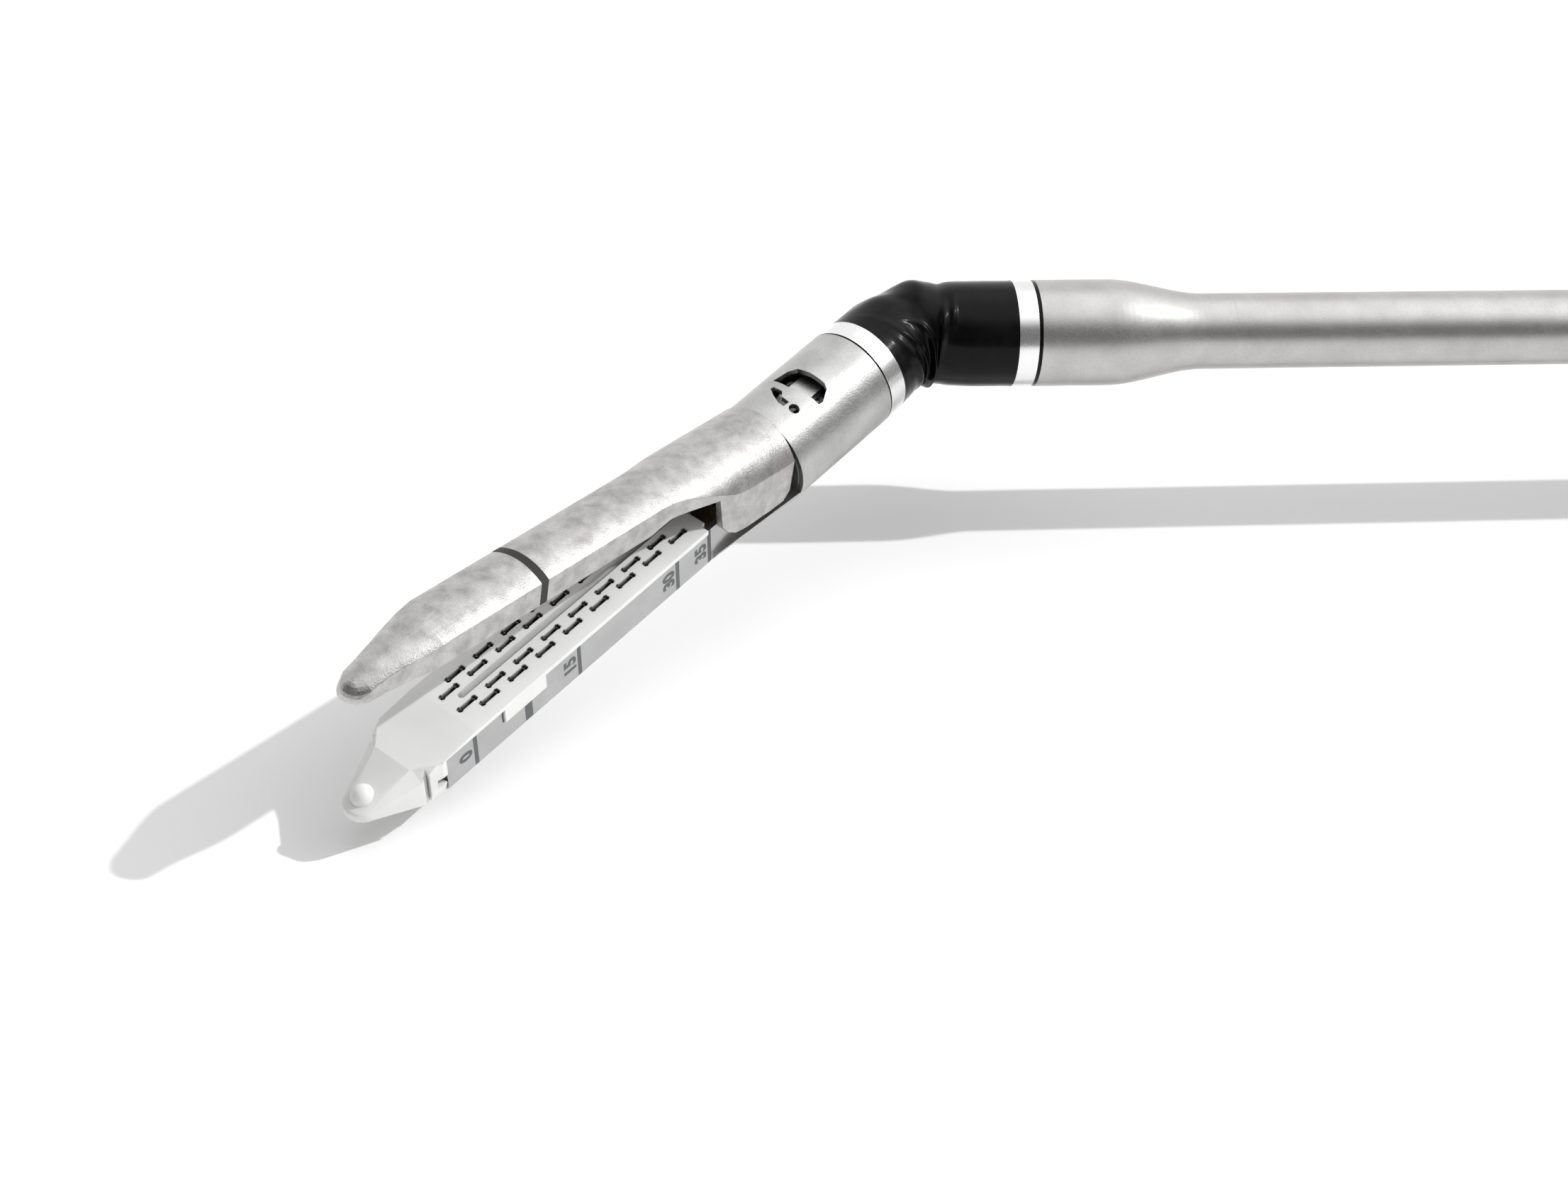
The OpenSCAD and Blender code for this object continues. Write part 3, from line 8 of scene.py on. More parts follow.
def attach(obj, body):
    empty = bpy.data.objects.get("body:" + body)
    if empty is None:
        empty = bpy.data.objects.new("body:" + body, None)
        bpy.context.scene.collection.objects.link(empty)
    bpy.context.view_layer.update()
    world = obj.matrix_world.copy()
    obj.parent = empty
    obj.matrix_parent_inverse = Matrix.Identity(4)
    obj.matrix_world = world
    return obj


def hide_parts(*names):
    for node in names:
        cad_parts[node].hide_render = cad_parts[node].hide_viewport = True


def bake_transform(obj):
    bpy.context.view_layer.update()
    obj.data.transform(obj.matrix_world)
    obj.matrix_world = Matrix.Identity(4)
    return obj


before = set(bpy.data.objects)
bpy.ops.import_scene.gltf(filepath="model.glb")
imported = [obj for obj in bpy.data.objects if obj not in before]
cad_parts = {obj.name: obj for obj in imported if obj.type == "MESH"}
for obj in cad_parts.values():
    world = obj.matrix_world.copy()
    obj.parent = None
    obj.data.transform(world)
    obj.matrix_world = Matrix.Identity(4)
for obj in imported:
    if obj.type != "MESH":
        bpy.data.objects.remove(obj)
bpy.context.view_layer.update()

# Sizes, in metres, and angles, in radians: the same as the model's
MM = 0.001
WRIST = Vector((-160 * MM, 0, 0))
ROLL = math.radians(8.1)
YAW = math.radians(44.4)
PITCH = math.radians(-6.3)
OPEN = math.radians(12)
TUBE_R = 5.92 * MM
RING_BACK = 12.1 * MM
RING_FRONT = 7 * MM
HINGE_S = 28 * MM
CHANNEL_HALF = 3.9 * MM
FLOOR_Z = -24 * MM

SHAFT_FRAME = Matrix.Translation(WRIST) @ Matrix.Rotation(ROLL, 4, "X")
GIMBAL_FRAME = SHAFT_FRAME @ Matrix.Rotation(YAW, 4, "Z")
JAW_FRAME = GIMBAL_FRAME @ Matrix.Rotation(PITCH, 4, "Y") @ Matrix.Rotation(math.pi, 4, "Z")
ANVIL_FRAME = (
    JAW_FRAME
    @ Matrix.Translation((HINGE_S, 0, 0))
    @ Matrix.Rotation(-OPEN, 4, "Y")
    @ Matrix.Translation((-HINGE_S, 0, 0))
)


# Material building

def new_material(name):
    material = bpy.data.materials.new(name)
    material.use_nodes = True
    tree = material.node_tree
    tree.nodes.clear()
    output = tree.nodes.new("ShaderNodeOutputMaterial")
    shader = tree.nodes.new("ShaderNodeBsdfPrincipled")
    tree.links.new(shader.outputs["BSDF"], output.inputs["Surface"])
    return material, tree, shader


def add(tree, kind, **values):
    node = tree.nodes.new(kind)
    for key, value in values.items():
        setattr(node, key, value)
    return node


def noise_at(tree, coordinates, size, detail=4, roughness=0.6, stretch=(1, 1, 1)):
    """Noise whose grain is about size metres across, stretched along an axis where asked."""
    mapping = add(tree, "ShaderNodeMapping")
    mapping.inputs["Scale"].default_value = stretch
    tree.links.new(coordinates, mapping.inputs["Vector"])
    texture = add(tree, "ShaderNodeTexNoise")
    texture.inputs["Scale"].default_value = 1 / size
    texture.inputs["Detail"].default_value = detail
    texture.inputs["Roughness"].default_value = roughness
    tree.links.new(mapping.outputs["Vector"], texture.inputs["Vector"])
    return texture.outputs["Fac"]


def ramp(tree, factor, low, high, at=(0.3, 0.7)):
    node = add(tree, "ShaderNodeValToRGB")
    node.color_ramp.elements[0].position = at[0]
    node.color_ramp.elements[0].color = (*low, 1)
    node.color_ramp.elements[1].position = at[1]
    node.color_ramp.elements[1].color = (*high, 1)
    tree.links.new(factor, node.inputs["Fac"])
    return node.outputs["Color"]


def ranged(tree, factor, low, high, at=(0.3, 0.7)):
    node = add(tree, "ShaderNodeMapRange")
    node.inputs["From Min"].default_value = at[0]
    node.inputs["From Max"].default_value = at[1]
    node.inputs["To Min"].default_value = low
    node.inputs["To Max"].default_value = high
    tree.links.new(factor, node.inputs["Value"])
    return node.outputs["Result"]


def bump(tree, height, distance, strength, normal=None):
    node = add(tree, "ShaderNodeBump")
    node.inputs["Distance"].default_value = distance
    node.inputs["Strength"].default_value = strength
    tree.links.new(height, node.inputs["Height"])
    if normal is not None:
        tree.links.new(normal, node.inputs["Normal"])
    return node.outputs["Normal"]


def maths(tree, operation, first, second):
    node = add(tree, "ShaderNodeMath", operation=operation)
    tree.links.new(first, node.inputs[0])
    tree.links.new(second, node.inputs[1])
    return node.outputs["Value"]


def soft_edges(tree, radius):
    """A small round on each edge, in the shading alone."""
    node = add(tree, "ShaderNodeBevel", samples=4)
    node.inputs["Radius"].default_value = radius
    return node.outputs["Normal"]


def metal(name, dark, light, roughness, grain=0.12 * MM, depth=0.02 * MM, strength=0.3,
          stretch=(1, 1, 1), edge=0.08 * MM, blotch=3 * MM, speck=0.86):
    """Metal with a fine grain, slow changes of tone and a soft edge."""
    material, tree, shader = new_material(name)
    place = add(tree, "ShaderNodeTexCoord").outputs["Object"]
    fine = noise_at(tree, place, grain, 3, 0.65, stretch)
    slow = noise_at(tree, place, blotch, 4, 0.55)
    tone = ramp(tree, slow, dark, light)
    specks = ramp(tree, fine, (speck, speck, speck), (1, 1, 1), (0.35, 0.6))
    mix = add(tree, "ShaderNodeMix", data_type="RGBA", blend_type="MULTIPLY")
    mix.inputs["Factor"].default_value = 1
    tree.links.new(tone, mix.inputs["A"])
    tree.links.new(specks, mix.inputs["B"])
    tree.links.new(mix.outputs["Result"], shader.inputs["Base Color"])
    tree.links.new(ranged(tree, fine, roughness - 0.06, roughness + 0.08), shader.inputs["Roughness"])
    shader.inputs["Metallic"].default_value = 1
    tree.links.new(bump(tree, fine, depth, strength, soft_edges(tree, edge)), shader.inputs["Normal"])
    return material


# How far the painted shade in narrow slots looks for nearby walls
SLOT_SHADE_REACH = 1 * MM


def in_slots(tree, colour, deepest):
    """Painted shade: a colour that ambient occlusion darkens to the deepest share of itself inside narrow
    slots.
    """
    open_share = add(tree, "ShaderNodeAmbientOcclusion", samples=8)
    open_share.inputs["Distance"].default_value = SLOT_SHADE_REACH
    shade = ramp(tree, open_share.outputs["AO"], (deepest, 0.9 * deepest, 0.8 * deepest), (1, 1, 1),
                 (0.22, 0.62))
    mix = add(tree, "ShaderNodeMix", data_type="RGBA", blend_type="MULTIPLY")
    mix.inputs["Factor"].default_value = 1
    tree.links.new(colour, mix.inputs["A"])
    tree.links.new(shade, mix.inputs["B"])
    return mix.outputs["Result"]


def plastic(name, dark, light, roughness, grain=0.3 * MM, depth=0.02 * MM, strength=0.2,
            edge=0.1 * MM, through=0, painted_slot_shade=0):
    """Moulded plastic with a fine spark-eroded grain. through is how much light it lets in."""
    material, tree, shader = new_material(name)
    place = add(tree, "ShaderNodeTexCoord").outputs["Object"]
    fine = noise_at(tree, place, grain, 5, 0.6)
    slow = noise_at(tree, place, 40 * grain, 3, 0.5)
    tone = ramp(tree, slow, dark, light)
    # painted shade: where a depth for it is given, the colour darkens inside narrow slots by ambient
    # occlusion
    tree.links.new(in_slots(tree, tone, painted_slot_shade) if painted_slot_shade else tone, shader.inputs["Base Color"])
    tree.links.new(ranged(tree, fine, roughness - 0.05, roughness + 0.08), shader.inputs["Roughness"])
    tree.links.new(bump(tree, fine, depth, strength, soft_edges(tree, edge)), shader.inputs["Normal"])
    if through:
        shader.inputs["Subsurface Weight"].default_value = through
        shader.inputs["Subsurface Radius"].default_value = (1, 1, 1)
        shader.inputs["Subsurface Scale"].default_value = 1.2 * MM
    return material


def rubber(name):
    """Glossy black rubber with faint swirls in its gloss."""
    material, tree, shader = new_material(name)
    place = add(tree, "ShaderNodeTexCoord").outputs["Object"]
    fine = noise_at(tree, place, 0.25 * MM, 4, 0.6)
    slow = noise_at(tree, place, 2 * MM, 4, 0.6)
    tone = ramp(tree, slow, (0.002, 0.002, 0.002), (0.005, 0.005, 0.005))
    tree.links.new(tone, shader.inputs["Base Color"])
    tree.links.new(ranged(tree, slow, 0.12, 0.26), shader.inputs["Roughness"])
    shader.inputs["Specular IOR Level"].default_value = 0.13
    tree.links.new(bump(tree, fine, 0.01 * MM, 0.12), shader.inputs["Normal"])
    return material


def laser_mark(name, dark, light):
    """Dark laser marking, a little uneven where the steel shows through."""
    material, tree, shader = new_material(name)
    place = add(tree, "ShaderNodeTexCoord").outputs["Object"]
    fine = noise_at(tree, place, 0.1 * MM, 4, 0.7)
    tree.links.new(ramp(tree, fine, dark, light, (0.45, 0.8)), shader.inputs["Base Color"])
    tree.links.new(ranged(tree, fine, 0.45, 0.65), shader.inputs["Roughness"])
    shader.inputs["Metallic"].default_value = 0.3
    return material


STEEL = {
    "shaft": metal("blasted_shaft", (0.50, 0.49, 0.48), (0.58, 0.57, 0.56), 0.36, 0.16 * MM, 0.02 * MM, 0.25),
    "anvil": metal("blasted_anvil", (0.38, 0.37, 0.36), (0.60, 0.59, 0.58), 0.31, 0.16 * MM, 0.045 * MM, 0.7,
                   speck=0.86, blotch=1.6 * MM),
    "tube": metal("blasted_tube", (0.48, 0.48, 0.47), (0.60, 0.60, 0.59), 0.36, 0.2 * MM, 0.04 * MM, 0.6),
    "ring": metal("polished_ring", (0.88, 0.88, 0.88), (0.95, 0.95, 0.95), 0.22, 0.1 * MM, 0.01 * MM, 0.1),
    "machined": metal("machined_steel", (0.66, 0.66, 0.66), (0.74, 0.74, 0.74), 0.3, 0.08 * MM,
                      0.015 * MM, 0.25, (0.1, 1, 1)),
    "channel": metal("ground_channel", (0.47, 0.47, 0.47), (0.53, 0.53, 0.53), 0.36, 0.08 * MM,
                     0.015 * MM, 0.3),
    "wire": metal("drawn_wire", (0.42, 0.42, 0.42), (0.56, 0.56, 0.56), 0.3, 0.06 * MM),
    "staple": metal("staple_wire", (0.10, 0.09, 0.08), (0.18, 0.17, 0.16), 0.35, 0.06 * MM),
    "bronze": metal("sintered_bronze", (0.42, 0.29, 0.13), (0.56, 0.41, 0.2), 0.42, 0.1 * MM, 0.02 * MM, 0.4),
    "aluminium": metal("milled_aluminium", (0.66, 0.66, 0.68), (0.74, 0.74, 0.76), 0.38, 0.12 * MM,
                       0.02 * MM, 0.3, (1, 0.1, 1), blotch=12 * MM),
}
# the white cartridge plastic gets painted shade inside its staple pockets, down to 3% of its colour
WHITE = plastic("cartridge_plastic", (0.82, 0.82, 0.81), (0.88, 0.88, 0.87), 0.42, 0.12 * MM, 0.008 * MM,
                0.15, through=0.12, painted_slot_shade=0.03)
IVORY = plastic("acetal", (0.70, 0.68, 0.62), (0.78, 0.76, 0.70), 0.4)
PUSHER = plastic("pusher_plastic", (0.05, 0.035, 0.025), (0.09, 0.07, 0.05), 0.5)
SHELL = plastic("housing_plastic", (0.60, 0.61, 0.62), (0.66, 0.67, 0.68), 0.45, 0.35 * MM, 0.04 * MM, 0.4,
                0.4 * MM)
DARK = plastic("dark_plastic", (0.045, 0.047, 0.05), (0.065, 0.067, 0.07), 0.45, 0.3 * MM, 0.04 * MM, 0.4,
               0.3 * MM)
RUBBER = rubber("black_rubber")
MARK = laser_mark("laser_mark", (0.11, 0.115, 0.12), (0.17, 0.175, 0.18))
BAND = laser_mark("etched_band", (0.015, 0.015, 0.016), (0.05, 0.05, 0.052))

NODE_MATERIALS = {
    "cartridge_channel": STEEL["channel"], "cartridge_body": WHITE, "cartridge_pan": STEEL["channel"],
    "staples": STEEL["staple"], "staple_pushers": PUSHER, "wedge_sled": IVORY, "knife": STEEL["ring"],
    "drive_nut": STEEL["bronze"], "lead_screw": STEEL["ring"], "screw_gear": STEEL["bronze"],
    "screw_end_bearing": STEEL["bronze"], "anvil": STEEL["anvil"], "anvil_hinge_pins": STEEL["ring"],
    "closing_pin": STEEL["ring"], "closing_yoke": STEEL["machined"], "closing_wires": STEEL["wire"],
    "output_shaft": STEEL["ring"], "output_gear": STEEL["bronze"], "bearing_bulkhead": STEEL["machined"],
    "clevis_tube": STEEL["tube"], "distal_gasket": RUBBER, "distal_clamp_ring": STEEL["ring"],
    "distal_wrist_clevis": STEEL["machined"], "gimbal_ring": STEEL["machined"], "wrist_pins": STEEL["ring"],
    "proximal_wrist_clevis": STEEL["machined"], "proximal_clamp_ring": STEEL["ring"],
    "proximal_gasket": RUBBER, "shaft_reducer": STEEL["shaft"], "shaft_tube": STEEL["shaft"],
    "drive_rod": STEEL["ring"], "cable_bushes": IVORY, "shaft_cables": STEEL["wire"],
    "roll_gear": STEEL["bronze"], "drive_rod_gear": STEEL["bronze"], "shaft_bushes": IVORY,
    "front_plate": DARK, "inner_plate": STEEL["aluminium"], "rear_bearing_plate": STEEL["aluminium"],
    "standoffs": STEEL["machined"], "roll_disc": IVORY, "fire_disc": IVORY, "fire_gear": STEEL["bronze"],
    "yaw_disc": IVORY, "pitch_disc": IVORY, "closing_disc": IVORY, "cable_guide": IVORY,
    "drum_cables": STEEL["wire"], "housing_lower_shell": SHELL, "housing_upper_shell": SHELL,
    "housing_screws": STEEL["ring"], "release_button_left": DARK, "release_button_right": DARK,
    "button_spring_left": STEEL["wire"], "button_spring_right": STEEL["wire"], "release_cap": DARK,
}


def dress_nodes():
    for name, material in NODE_MATERIALS.items():
        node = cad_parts[name]
        node.data.materials.clear()
        node.data.materials.append(material)


# Making pieces

def link_mesh(name, mesh, material):
    piece = bpy.data.objects.new(name, mesh)
    bpy.context.scene.collection.objects.link(piece)
    mesh.materials.clear()
    mesh.materials.append(material)
    return piece


def tube_mesh(name, rings, closed_ends=True):
    """A tube through rings of points, each ring the same number of points."""
    count = len(rings[0])
    points = [point for ring in rings for point in ring]
    faces = [
        (i * count + k, i * count + (k + 1) % count, (i + 1) * count + (k + 1) % count, (i + 1) * count + k)
        for i in range(len(rings) - 1)
        for k in range(count)
    ]
    if closed_ends:
        faces.append(tuple(reversed(range(count))))
        faces.append(tuple((len(rings) - 1) * count + k for k in range(count)))
    mesh = bpy.data.meshes.new(name)
    mesh.from_pydata(points, [], faces)
    mesh.polygons.foreach_set("use_smooth", [True] * len(mesh.polygons))
    mesh.update()
    return mesh


# The wrist's bend, in the shaft's frame: straight, round, then straight again

SHAFT_TO_JAW = SHAFT_FRAME.inverted() @ JAW_FRAME
JAW_WAY = (SHAFT_TO_JAW.to_3x3() @ Vector((1, 0, 0))).normalized()
BACK_WAY = Vector((1, 0, 0))
BEND_AXIS = JAW_WAY.cross(BACK_WAY).normalized()
BEND_ANGLE = math.pi - JAW_WAY.angle(BACK_WAY)
INNER_WAY = (JAW_WAY + BACK_WAY).normalized()


def bend_frame(distance, straight):
    """Place, and the way to the bend's inside, at a distance along the bent line.
    Zero is the bend's middle, and plus is towards the shaft."""
    radius = straight / math.tan(BEND_ANGLE / 2)
    half_arc = radius * BEND_ANGLE / 2
    centre = INNER_WAY * (radius / math.cos(BEND_ANGLE / 2))
    turn = max(-half_arc, min(half_arc, distance)) / radius
    inward = Matrix.Rotation(-turn, 3, BEND_AXIS) @ INNER_WAY
    along = BEND_AXIS.cross(inward)
    place = centre - inward * radius
    over = distance - turn * radius
    return place + along * over, inward


def wave(x, middle, width):
    return math.exp(-(((x - middle) / width) ** 2))


SLEEVE_STRAIGHT = 3.4 * MM
SLEEVE_SIDES = 180
SLEEVE_STEP = 0.1 * MM
# How far the skin lies inside the tube's surface, freely and at the rings, and over what length it eases
SLEEVE_INSET = 0.06 * MM
HELD_INSET = 0.03 * MM
HELD_LEN = 1.2 * MM
# Folds: place on the inside of the bend, slant and curl round the tube, width, height, and middle and reach
# round the tube
FOLDS = [
    (1.5 * MM, -0.1 * MM, -1.1 * MM, 0.6 * MM, 0.95 * MM, -0.1, 0.95),
    (2.9 * MM, 0.6 * MM, 0, 0.45 * MM, 0.6 * MM, 0.85, 0.5),
    (3.9 * MM, 0.6 * MM, 0, 0.4 * MM, 0.3 * MM, 1.2, 0.3),
    (-0.1 * MM, -1.0 * MM, 0, 0.36 * MM, 0.45 * MM, -0.1, 0.7),
    (-1.5 * MM, -1.9 * MM, 0, 0.5 * MM, 0.7 * MM, 0.2, 0.9),
    (-3.3 * MM, -1.2 * MM, 0, 0.6 * MM, 0.35 * MM, 0.2, 0.8),
]
# Waves on the outside of the bend: place, width and height
OUTER_WAVES = [
    (1.5 * MM, 0.9 * MM, 0.45 * MM),
    (-0.7 * MM, 1.1 * MM, -0.2 * MM),
    (3.7 * MM, 0.8 * MM, -0.3 * MM),
]
OUTER_MIDDLE = 2.4
OUTER_REACH = 1.1
# The pull inwards on the inside of the bend: depth, place and width
VALLEY = 0.8 * MM
VALLEY_MIDDLE = 0.4 * MM
VALLEY_WIDTH = 4.2 * MM
# Small random wrinkles: height, length along the sleeve, and the radius of the way round it through the noise
WRINKLE = 0.16 * MM
WRINKLE_LEN = 1.6 * MM
WRINKLE_ROUND = 2.6


def bend_saving(straight):
    """Half of the round bend's length less the straight way to the wrist's middle, so a value below zero."""
    return straight / math.tan(BEND_ANGLE / 2) * BEND_ANGLE / 2 - straight


SLEEVE_BACK = RING_BACK + bend_saving(SLEEVE_STRAIGHT)
SLEEVE_FRONT = RING_FRONT + bend_saving(SLEEVE_STRAIGHT)


def sleeve_radius(distance, angle):
    """Radius of the sleeve's skin. angle is zero on the inside of the bend."""
    radius = TUBE_R - SLEEVE_INSET
    inner = (1 + math.cos(angle)) / 2
    pull = wave(distance, VALLEY_MIDDLE, VALLEY_WIDTH)
    radius -= VALLEY * pull * inner ** 1.5
    for place, slant, curl, width, height, middle, reach in FOLDS:
        here = place + slant * angle + curl * max(0, angle) ** 4
        radius += height * wave(distance, here, width) * wave(angle, middle, reach)
    round_it = wave(math.remainder(angle - OUTER_MIDDLE, 2 * math.pi), 0, OUTER_REACH)
    for place, width, height in OUTER_WAVES:
        radius += height * wave(distance, place, width) * round_it
    spot = Vector((distance / WRINKLE_LEN, WRINKLE_ROUND * math.cos(angle), WRINKLE_ROUND * math.sin(angle)))
    radius += WRINKLE * pull * noise.noise(spot)
    free = min(1, (SLEEVE_BACK - distance) / HELD_LEN, (SLEEVE_FRONT + distance) / HELD_LEN)
    held = TUBE_R - HELD_INSET
    return held + (radius - held) * max(0, free) ** 0.6


def blend_back(piece):
    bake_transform(piece)


def blend_front(piece):
    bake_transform(piece)


def sleeve_ring(distance):
    place, inward = bend_frame(distance, SLEEVE_STRAIGHT)
    ring = []
    for k in range(SLEEVE_SIDES):
        angle = 2 * math.pi * k / SLEEVE_SIDES
        angle = angle - 2 * math.pi if angle > math.pi else angle
        radius = sleeve_radius(distance, angle)
        out = inward * math.cos(angle) + BEND_AXIS * math.sin(angle)
        ring.append(SHAFT_FRAME @ (place + radius * out))
    return ring


def sleeve():
    steps_back = round(SLEEVE_BACK / SLEEVE_STEP)
    steps_front = round(SLEEVE_FRONT / SLEEVE_STEP)
    back_rings = [sleeve_ring(SLEEVE_BACK * i / steps_back) for i in range(steps_back + 1)]
    front_rings = [sleeve_ring(-SLEEVE_FRONT * i / steps_front) for i in range(steps_front + 1)]
    skin_back = link_mesh("sleeve_skin_back", tube_mesh("sleeve_skin_back", back_rings, False), RUBBER)
    skin_front = link_mesh("sleeve_skin_front", tube_mesh("sleeve_skin_front", front_rings, False), RUBBER)
    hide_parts("sleeve_proximal")
    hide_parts("sleeve_distal")
    blend_back(skin_back)
    blend_front(skin_front)


# Marks: the scale on the channel, and the band on the anvil

MARK_LIFT = 0.012 * MM
NUMBER_LIFT = 0.006 * MM
NUMBER_WEIGHT = 0.1 * MM
DIGIT_SHARE = 0.7  # a digit's height as a share of the font's size


def channel_mark(name, low, high, bottom, top):
    """A thin dark mark on the channel's near wall, between two stations along the jaw."""
    mesh = bpy.data.meshes.new(name)
    form = bmesh.new()
    corners = [
        JAW_FRAME @ Vector((s, CHANNEL_HALF + y, w))
        for y in (0, MARK_LIFT)
        for s, w in ((low, bottom), (high, bottom), (high, top), (low, top))
    ]
    points = [form.verts.new(corner) for corner in corners]
    for face in ((0, 1, 2, 3), (7, 6, 5, 4), (0, 4, 5, 1), (1, 5, 6, 2), (2, 6, 7, 3), (3, 7, 4, 0)):
        form.faces.new([points[i] for i in face])
    bmesh.ops.recalc_face_normals(form, faces=form.faces)
    form.to_mesh(mesh)
    form.free()
    piece = link_mesh(name, mesh, MARK)
    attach(piece, "jaw_base")


def channel_number(text, s, middle, height):
    """A plain number of the scale, on the channel's near wall."""
    curve = bpy.data.curves.new("number_" + text, "FONT")
    curve.body = text
    curve.size = height / DIGIT_SHARE
    curve.align_x = "CENTER"
    curve.align_y = "CENTER"
    curve.extrude = NUMBER_LIFT
    curve.offset = NUMBER_WEIGHT
    shape = bpy.data.objects.new("number_shape", curve)
    bpy.context.scene.collection.objects.link(shape)
    bpy.context.view_layer.update()
    mesh = bpy.data.meshes.new_from_object(shape.evaluated_get(bpy.context.evaluated_depsgraph_get()))
    bpy.data.objects.remove(shape)
    # the digits run up the wall, with their tops towards the jaw's tip
    turn = Matrix(((0, 1, 0, s), (0, 0, 1, CHANNEL_HALF + NUMBER_LIFT), (1, 0, 0, middle), (0, 0, 0, 1)))
    mesh.transform(JAW_FRAME @ turn)
    piece = link_mesh("scale_number_" + text, mesh, MARK)
    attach(piece, "jaw_base")


SCALE_ZERO = 72.5 * MM
MARK_LOW = -3.05 * MM
MARK_HIGH = 1.58 * MM
MARK_HALF = 0.26 * MM
CUT_MARK_HIGH = -0.6 * MM
NUMBER_BESIDE = 1.3 * MM
NUMBER_MIDDLE = -0.75 * MM
NUMBER_HEIGHT = 1.6 * MM


def scale_marks():
    for value in (0, 15, 30, 35):
        s = SCALE_ZERO - value * MM
        channel_mark(f"scale_mark_{value}", s - MARK_HALF, s + MARK_HALF, MARK_LOW, MARK_HIGH)
        channel_number(str(value), s + NUMBER_BESIDE, NUMBER_MIDDLE, NUMBER_HEIGHT)
    s = SCALE_ZERO - 7.5 * MM
    channel_mark("scale_mark_cut", s - 2 * MARK_HALF, s + 2 * MARK_HALF, MARK_LOW, CUT_MARK_HIGH)


ANVIL_BACK_R = 5.95 * MM
ANVIL_RISE = 0.9 * MM
ANVIL_HALF = 3.3 * MM
ANVIL_UNDER = 3.1 * MM
BAND_S = 62.6 * MM
BAND_HALF = 0.5 * MM
BAND_END_GAP = 0.05 * MM
BAND_STEPS = 48


def anvil_band():
    """The black etched band round the anvil's back and down its flats."""
    corner = math.asin(ANVIL_HALF / ANVIL_BACK_R)
    radius = ANVIL_BACK_R + MARK_LIFT
    turns = [corner * (2 * i / BAND_STEPS - 1) for i in range(BAND_STEPS + 1)]
    arc = [(radius * math.sin(turn), ANVIL_RISE + radius * math.cos(turn)) for turn in turns]
    half = ANVIL_HALF + MARK_LIFT
    low = ANVIL_UNDER + BAND_END_GAP
    line = [(-half, low), *arc, (half, low)]
    mesh = bpy.data.meshes.new("anvil_band")
    points = [
        ANVIL_FRAME @ Vector((BAND_S + side * BAND_HALF, y, w))
        for side in (-1, 1)
        for y, w in line
    ]
    count = len(line)
    faces = [(i, i + 1, count + i + 1, count + i) for i in range(count - 1)]
    mesh.from_pydata(points, [], faces)
    piece = link_mesh("anvil_band", mesh, BAND)
    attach(piece, "anvil_jaw")


# The flexible core and the wires through the wrist, as smooth bent rods

BASE_GAP = 5.75 * MM
CORE_STRAIGHT = 2.4 * MM
WIRE_RING_R = 1.4 * MM
CORE_R = 0.9 * MM
WIRE_R = 0.2 * MM
FIRST_WIRE = 0.6
ROD_STEPS = 28
ROD_SIDES = 16


def bent_rod(name, y, z, radius, side, node):
    """Half of a rod through the bend, offset sideways.
    side is 1 for the shaft's half and -1 for the jaw's."""
    length = BASE_GAP + bend_saving(CORE_STRAIGHT)
    rings = []
    for i in range(ROD_STEPS + 1):
        place, inward = bend_frame(side * length * i / ROD_STEPS, CORE_STRAIGHT)
        middle = place + inward * y + BEND_AXIS * z
        rings.append([
            SHAFT_FRAME @ (middle + radius * (inward * math.cos(a) + BEND_AXIS * math.sin(a)))
            for a in (2 * math.pi * k / ROD_SIDES for k in range(ROD_SIDES))
        ])
    piece = link_mesh(name, tube_mesh(name, rings), STEEL["wire"])
    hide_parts(node)
    if side > 0:
        blend_back(piece)
    else:
        blend_front(piece)


def wrist_rods():
    for side, word in ((1, "back"), (-1, "front")):
        bent_rod("drive_core_" + word, 0, 0, CORE_R, side, "drive_core")
        for i in range(4):
            angle = math.pi / 2 * i + FIRST_WIRE
            y = WIRE_RING_R * math.cos(angle)
            z = WIRE_RING_R * math.sin(angle)
            bent_rod(f"wrist_wire_{word}_{i}", y, z, WIRE_R, side, "wrist_wires")


# Stage: floor, light and camera

FLOOR_HALF = 3.0
TO_LAMP = Vector((1.031, -0.0225, 1))
LAMP_SPREAD = math.radians(1.2)
SHADOW_POWER = 1.35
SPARKLE_POWER = 0.55
# The glow of the studio: the way to it, where it fades out and is full as cosines, and its strength
GLOWS = [
    ((0, 0, 1), -1, 0, 0.18),
    ((0.35, 0.05, 0.9), 0.6, 0.96, 1.25),
    ((0.45, 0.9, 0), -0.1, 0.9, 0.35),
    (TO_LAMP, 0.93, 0.995, 0.8),
]
# The white background that metal shows, away from the camera, written as the glows are
METAL_BACKDROP = ((0.13, 0.81, 0), -0.3, 0.45, 1)


def stage_floor():
    mesh = bpy.data.meshes.new("floor")
    half = FLOOR_HALF
    mesh.from_pydata(
        [(-half, -half, FLOOR_Z), (half, -half, FLOOR_Z), (half, half, FLOOR_Z), (-half, half, FLOOR_Z)],
        [], [(0, 1, 2, 3)],
    )
    material, tree, shader = new_material("floor_paper")
    shader.inputs["Base Color"].default_value = (0.97, 0.97, 0.97, 1)
    shader.inputs["Roughness"].default_value = 0.9
    shader.inputs["Specular IOR Level"].default_value = 0
    link_mesh("floor", mesh, material)


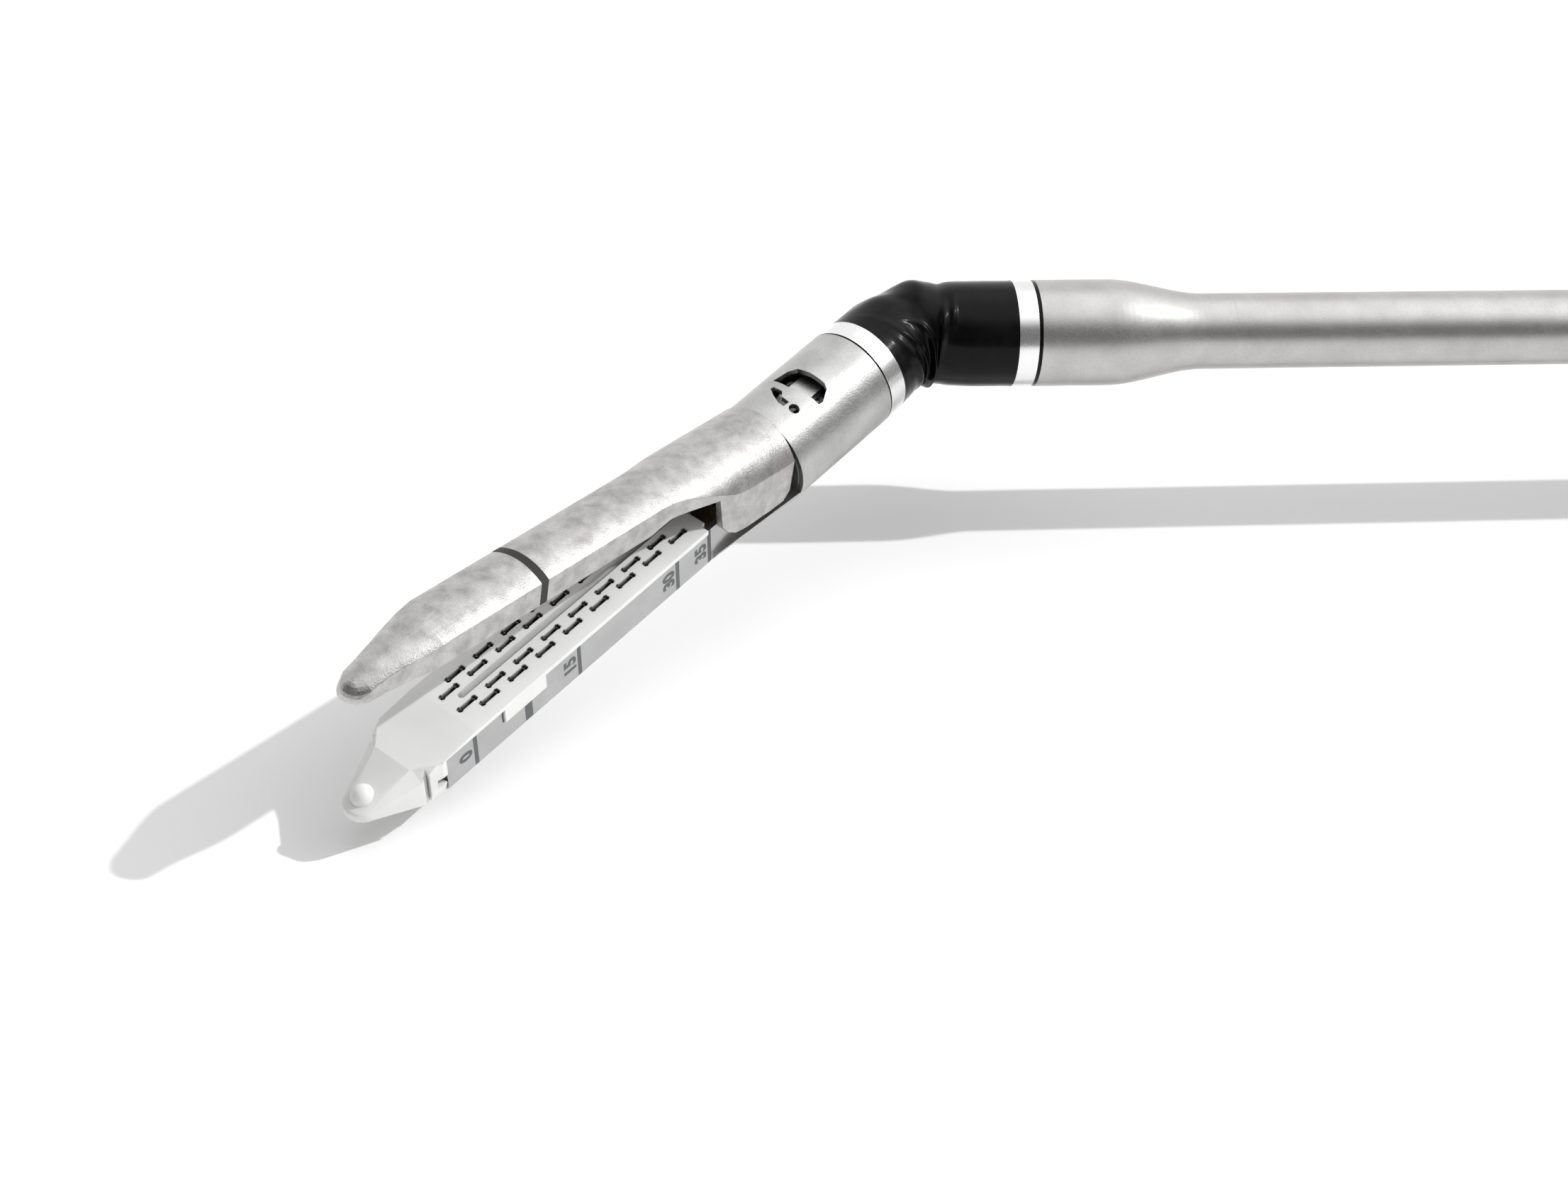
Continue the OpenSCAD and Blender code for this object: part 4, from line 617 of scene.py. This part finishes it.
def studio_glow(tree):
    """Brightness of the studio in each direction, as light and as what metal shows.
    It has a large soft light overhead, and a dark side behind the camera."""
    way = add(tree, "ShaderNodeTexCoord").outputs["Generated"]

    def towards(direction, low, high, value):
        dot = add(tree, "ShaderNodeVectorMath", operation="DOT_PRODUCT")
        dot.inputs[1].default_value = Vector(direction).normalized()
        tree.links.new(way, dot.inputs[0])
        spread = add(tree, "ShaderNodeMapRange", interpolation_type="SMOOTHSTEP")
        spread.inputs["From Min"].default_value = low
        spread.inputs["From Max"].default_value = high
        spread.inputs["To Max"].default_value = value
        tree.links.new(dot.outputs["Value"], spread.inputs["Value"])
        return spread.outputs["Result"]

    total = towards(*GLOWS[0])
    for glow in GLOWS[1:]:
        total = maths(tree, "ADD", total, towards(*glow))
    return total, maths(tree, "MAXIMUM", total, towards(*METAL_BACKDROP))


def far_lamp(name, power, on_gloss):
    light = bpy.data.lights.new(name, "SUN")
    light.energy = power
    light.angle = LAMP_SPREAD
    lamp = bpy.data.objects.new(name, light)
    bpy.context.scene.collection.objects.link(lamp)
    lamp.visible_glossy = on_gloss
    lamp.rotation_euler = (-TO_LAMP).to_track_quat("-Z", "Y").to_euler()


def stage_light():
    world = bpy.data.worlds.new("studio")
    bpy.context.scene.world = world
    world.use_nodes = True
    tree = world.node_tree
    tree.nodes.clear()
    output = add(tree, "ShaderNodeOutputWorld")
    seen = add(tree, "ShaderNodeBackground")
    lit = add(tree, "ShaderNodeBackground")
    mix = add(tree, "ShaderNodeMixShader")
    path = add(tree, "ShaderNodeLightPath")
    seen.inputs["Color"].default_value = (1, 1, 1, 1)
    lit.inputs["Color"].default_value = (1, 1, 1, 1)
    glow, backdrop = studio_glow(tree)
    tree.links.new(glow, lit.inputs["Strength"])
    # white to the camera and through glass, and the backdrop in metal
    plain = maths(tree, "ADD", path.outputs["Is Camera Ray"], path.outputs["Is Transmission Ray"])
    mirrored = maths(tree, "MULTIPLY", path.outputs["Is Glossy Ray"], backdrop)
    tree.links.new(maths(tree, "ADD", plain, mirrored), seen.inputs["Strength"])
    tree.links.new(maths(tree, "ADD", plain, path.outputs["Is Glossy Ray"]), mix.inputs["Fac"])
    tree.links.new(lit.outputs["Background"], mix.inputs[1])
    tree.links.new(seen.outputs["Background"], mix.inputs[2])
    tree.links.new(mix.outputs["Shader"], output.inputs["Surface"])
    # the stronger lamp doesn't show in glossy surfaces, and the weaker one gives them their sparkle
    far_lamp("shadow_lamp", SHADOW_POWER, False)
    far_lamp("sparkle_lamp", SPARKLE_POWER, True)


# The camera fitted to the photo: its lens in mm, its place from the wrist, and its directions
CAMERA_LENS = 66.374
CAMERA_PLACE = Vector((-54.417, -274.634, 159.336)) * MM
CAMERA_RIGHT = Vector((0.99162, -0.11709, 0.05462))
CAMERA_UP = Vector((0.02258, 0.57328, 0.81905))
CAMERA_AHEAD = Vector((0.12721, 0.81095, -0.57112))


def photo_camera():
    camera = bpy.data.cameras.new("camera")
    camera.sensor_width = 36
    camera.lens = CAMERA_LENS
    camera.clip_start = 0.01
    camera.clip_end = 20
    eye = bpy.data.objects.new("camera", camera)
    bpy.context.scene.collection.objects.link(eye)
    turn = Matrix((CAMERA_RIGHT, CAMERA_UP, -CAMERA_AHEAD)).transposed()
    eye.matrix_world = Matrix.Translation(WRIST + CAMERA_PLACE) @ turn.to_4x4()
    bpy.context.scene.camera = eye


dress_nodes()
sleeve()
wrist_rods()
scale_marks()
anvil_band()
stage_floor()
stage_light()
photo_camera()
bpy.context.scene.view_settings.view_transform = "Standard"
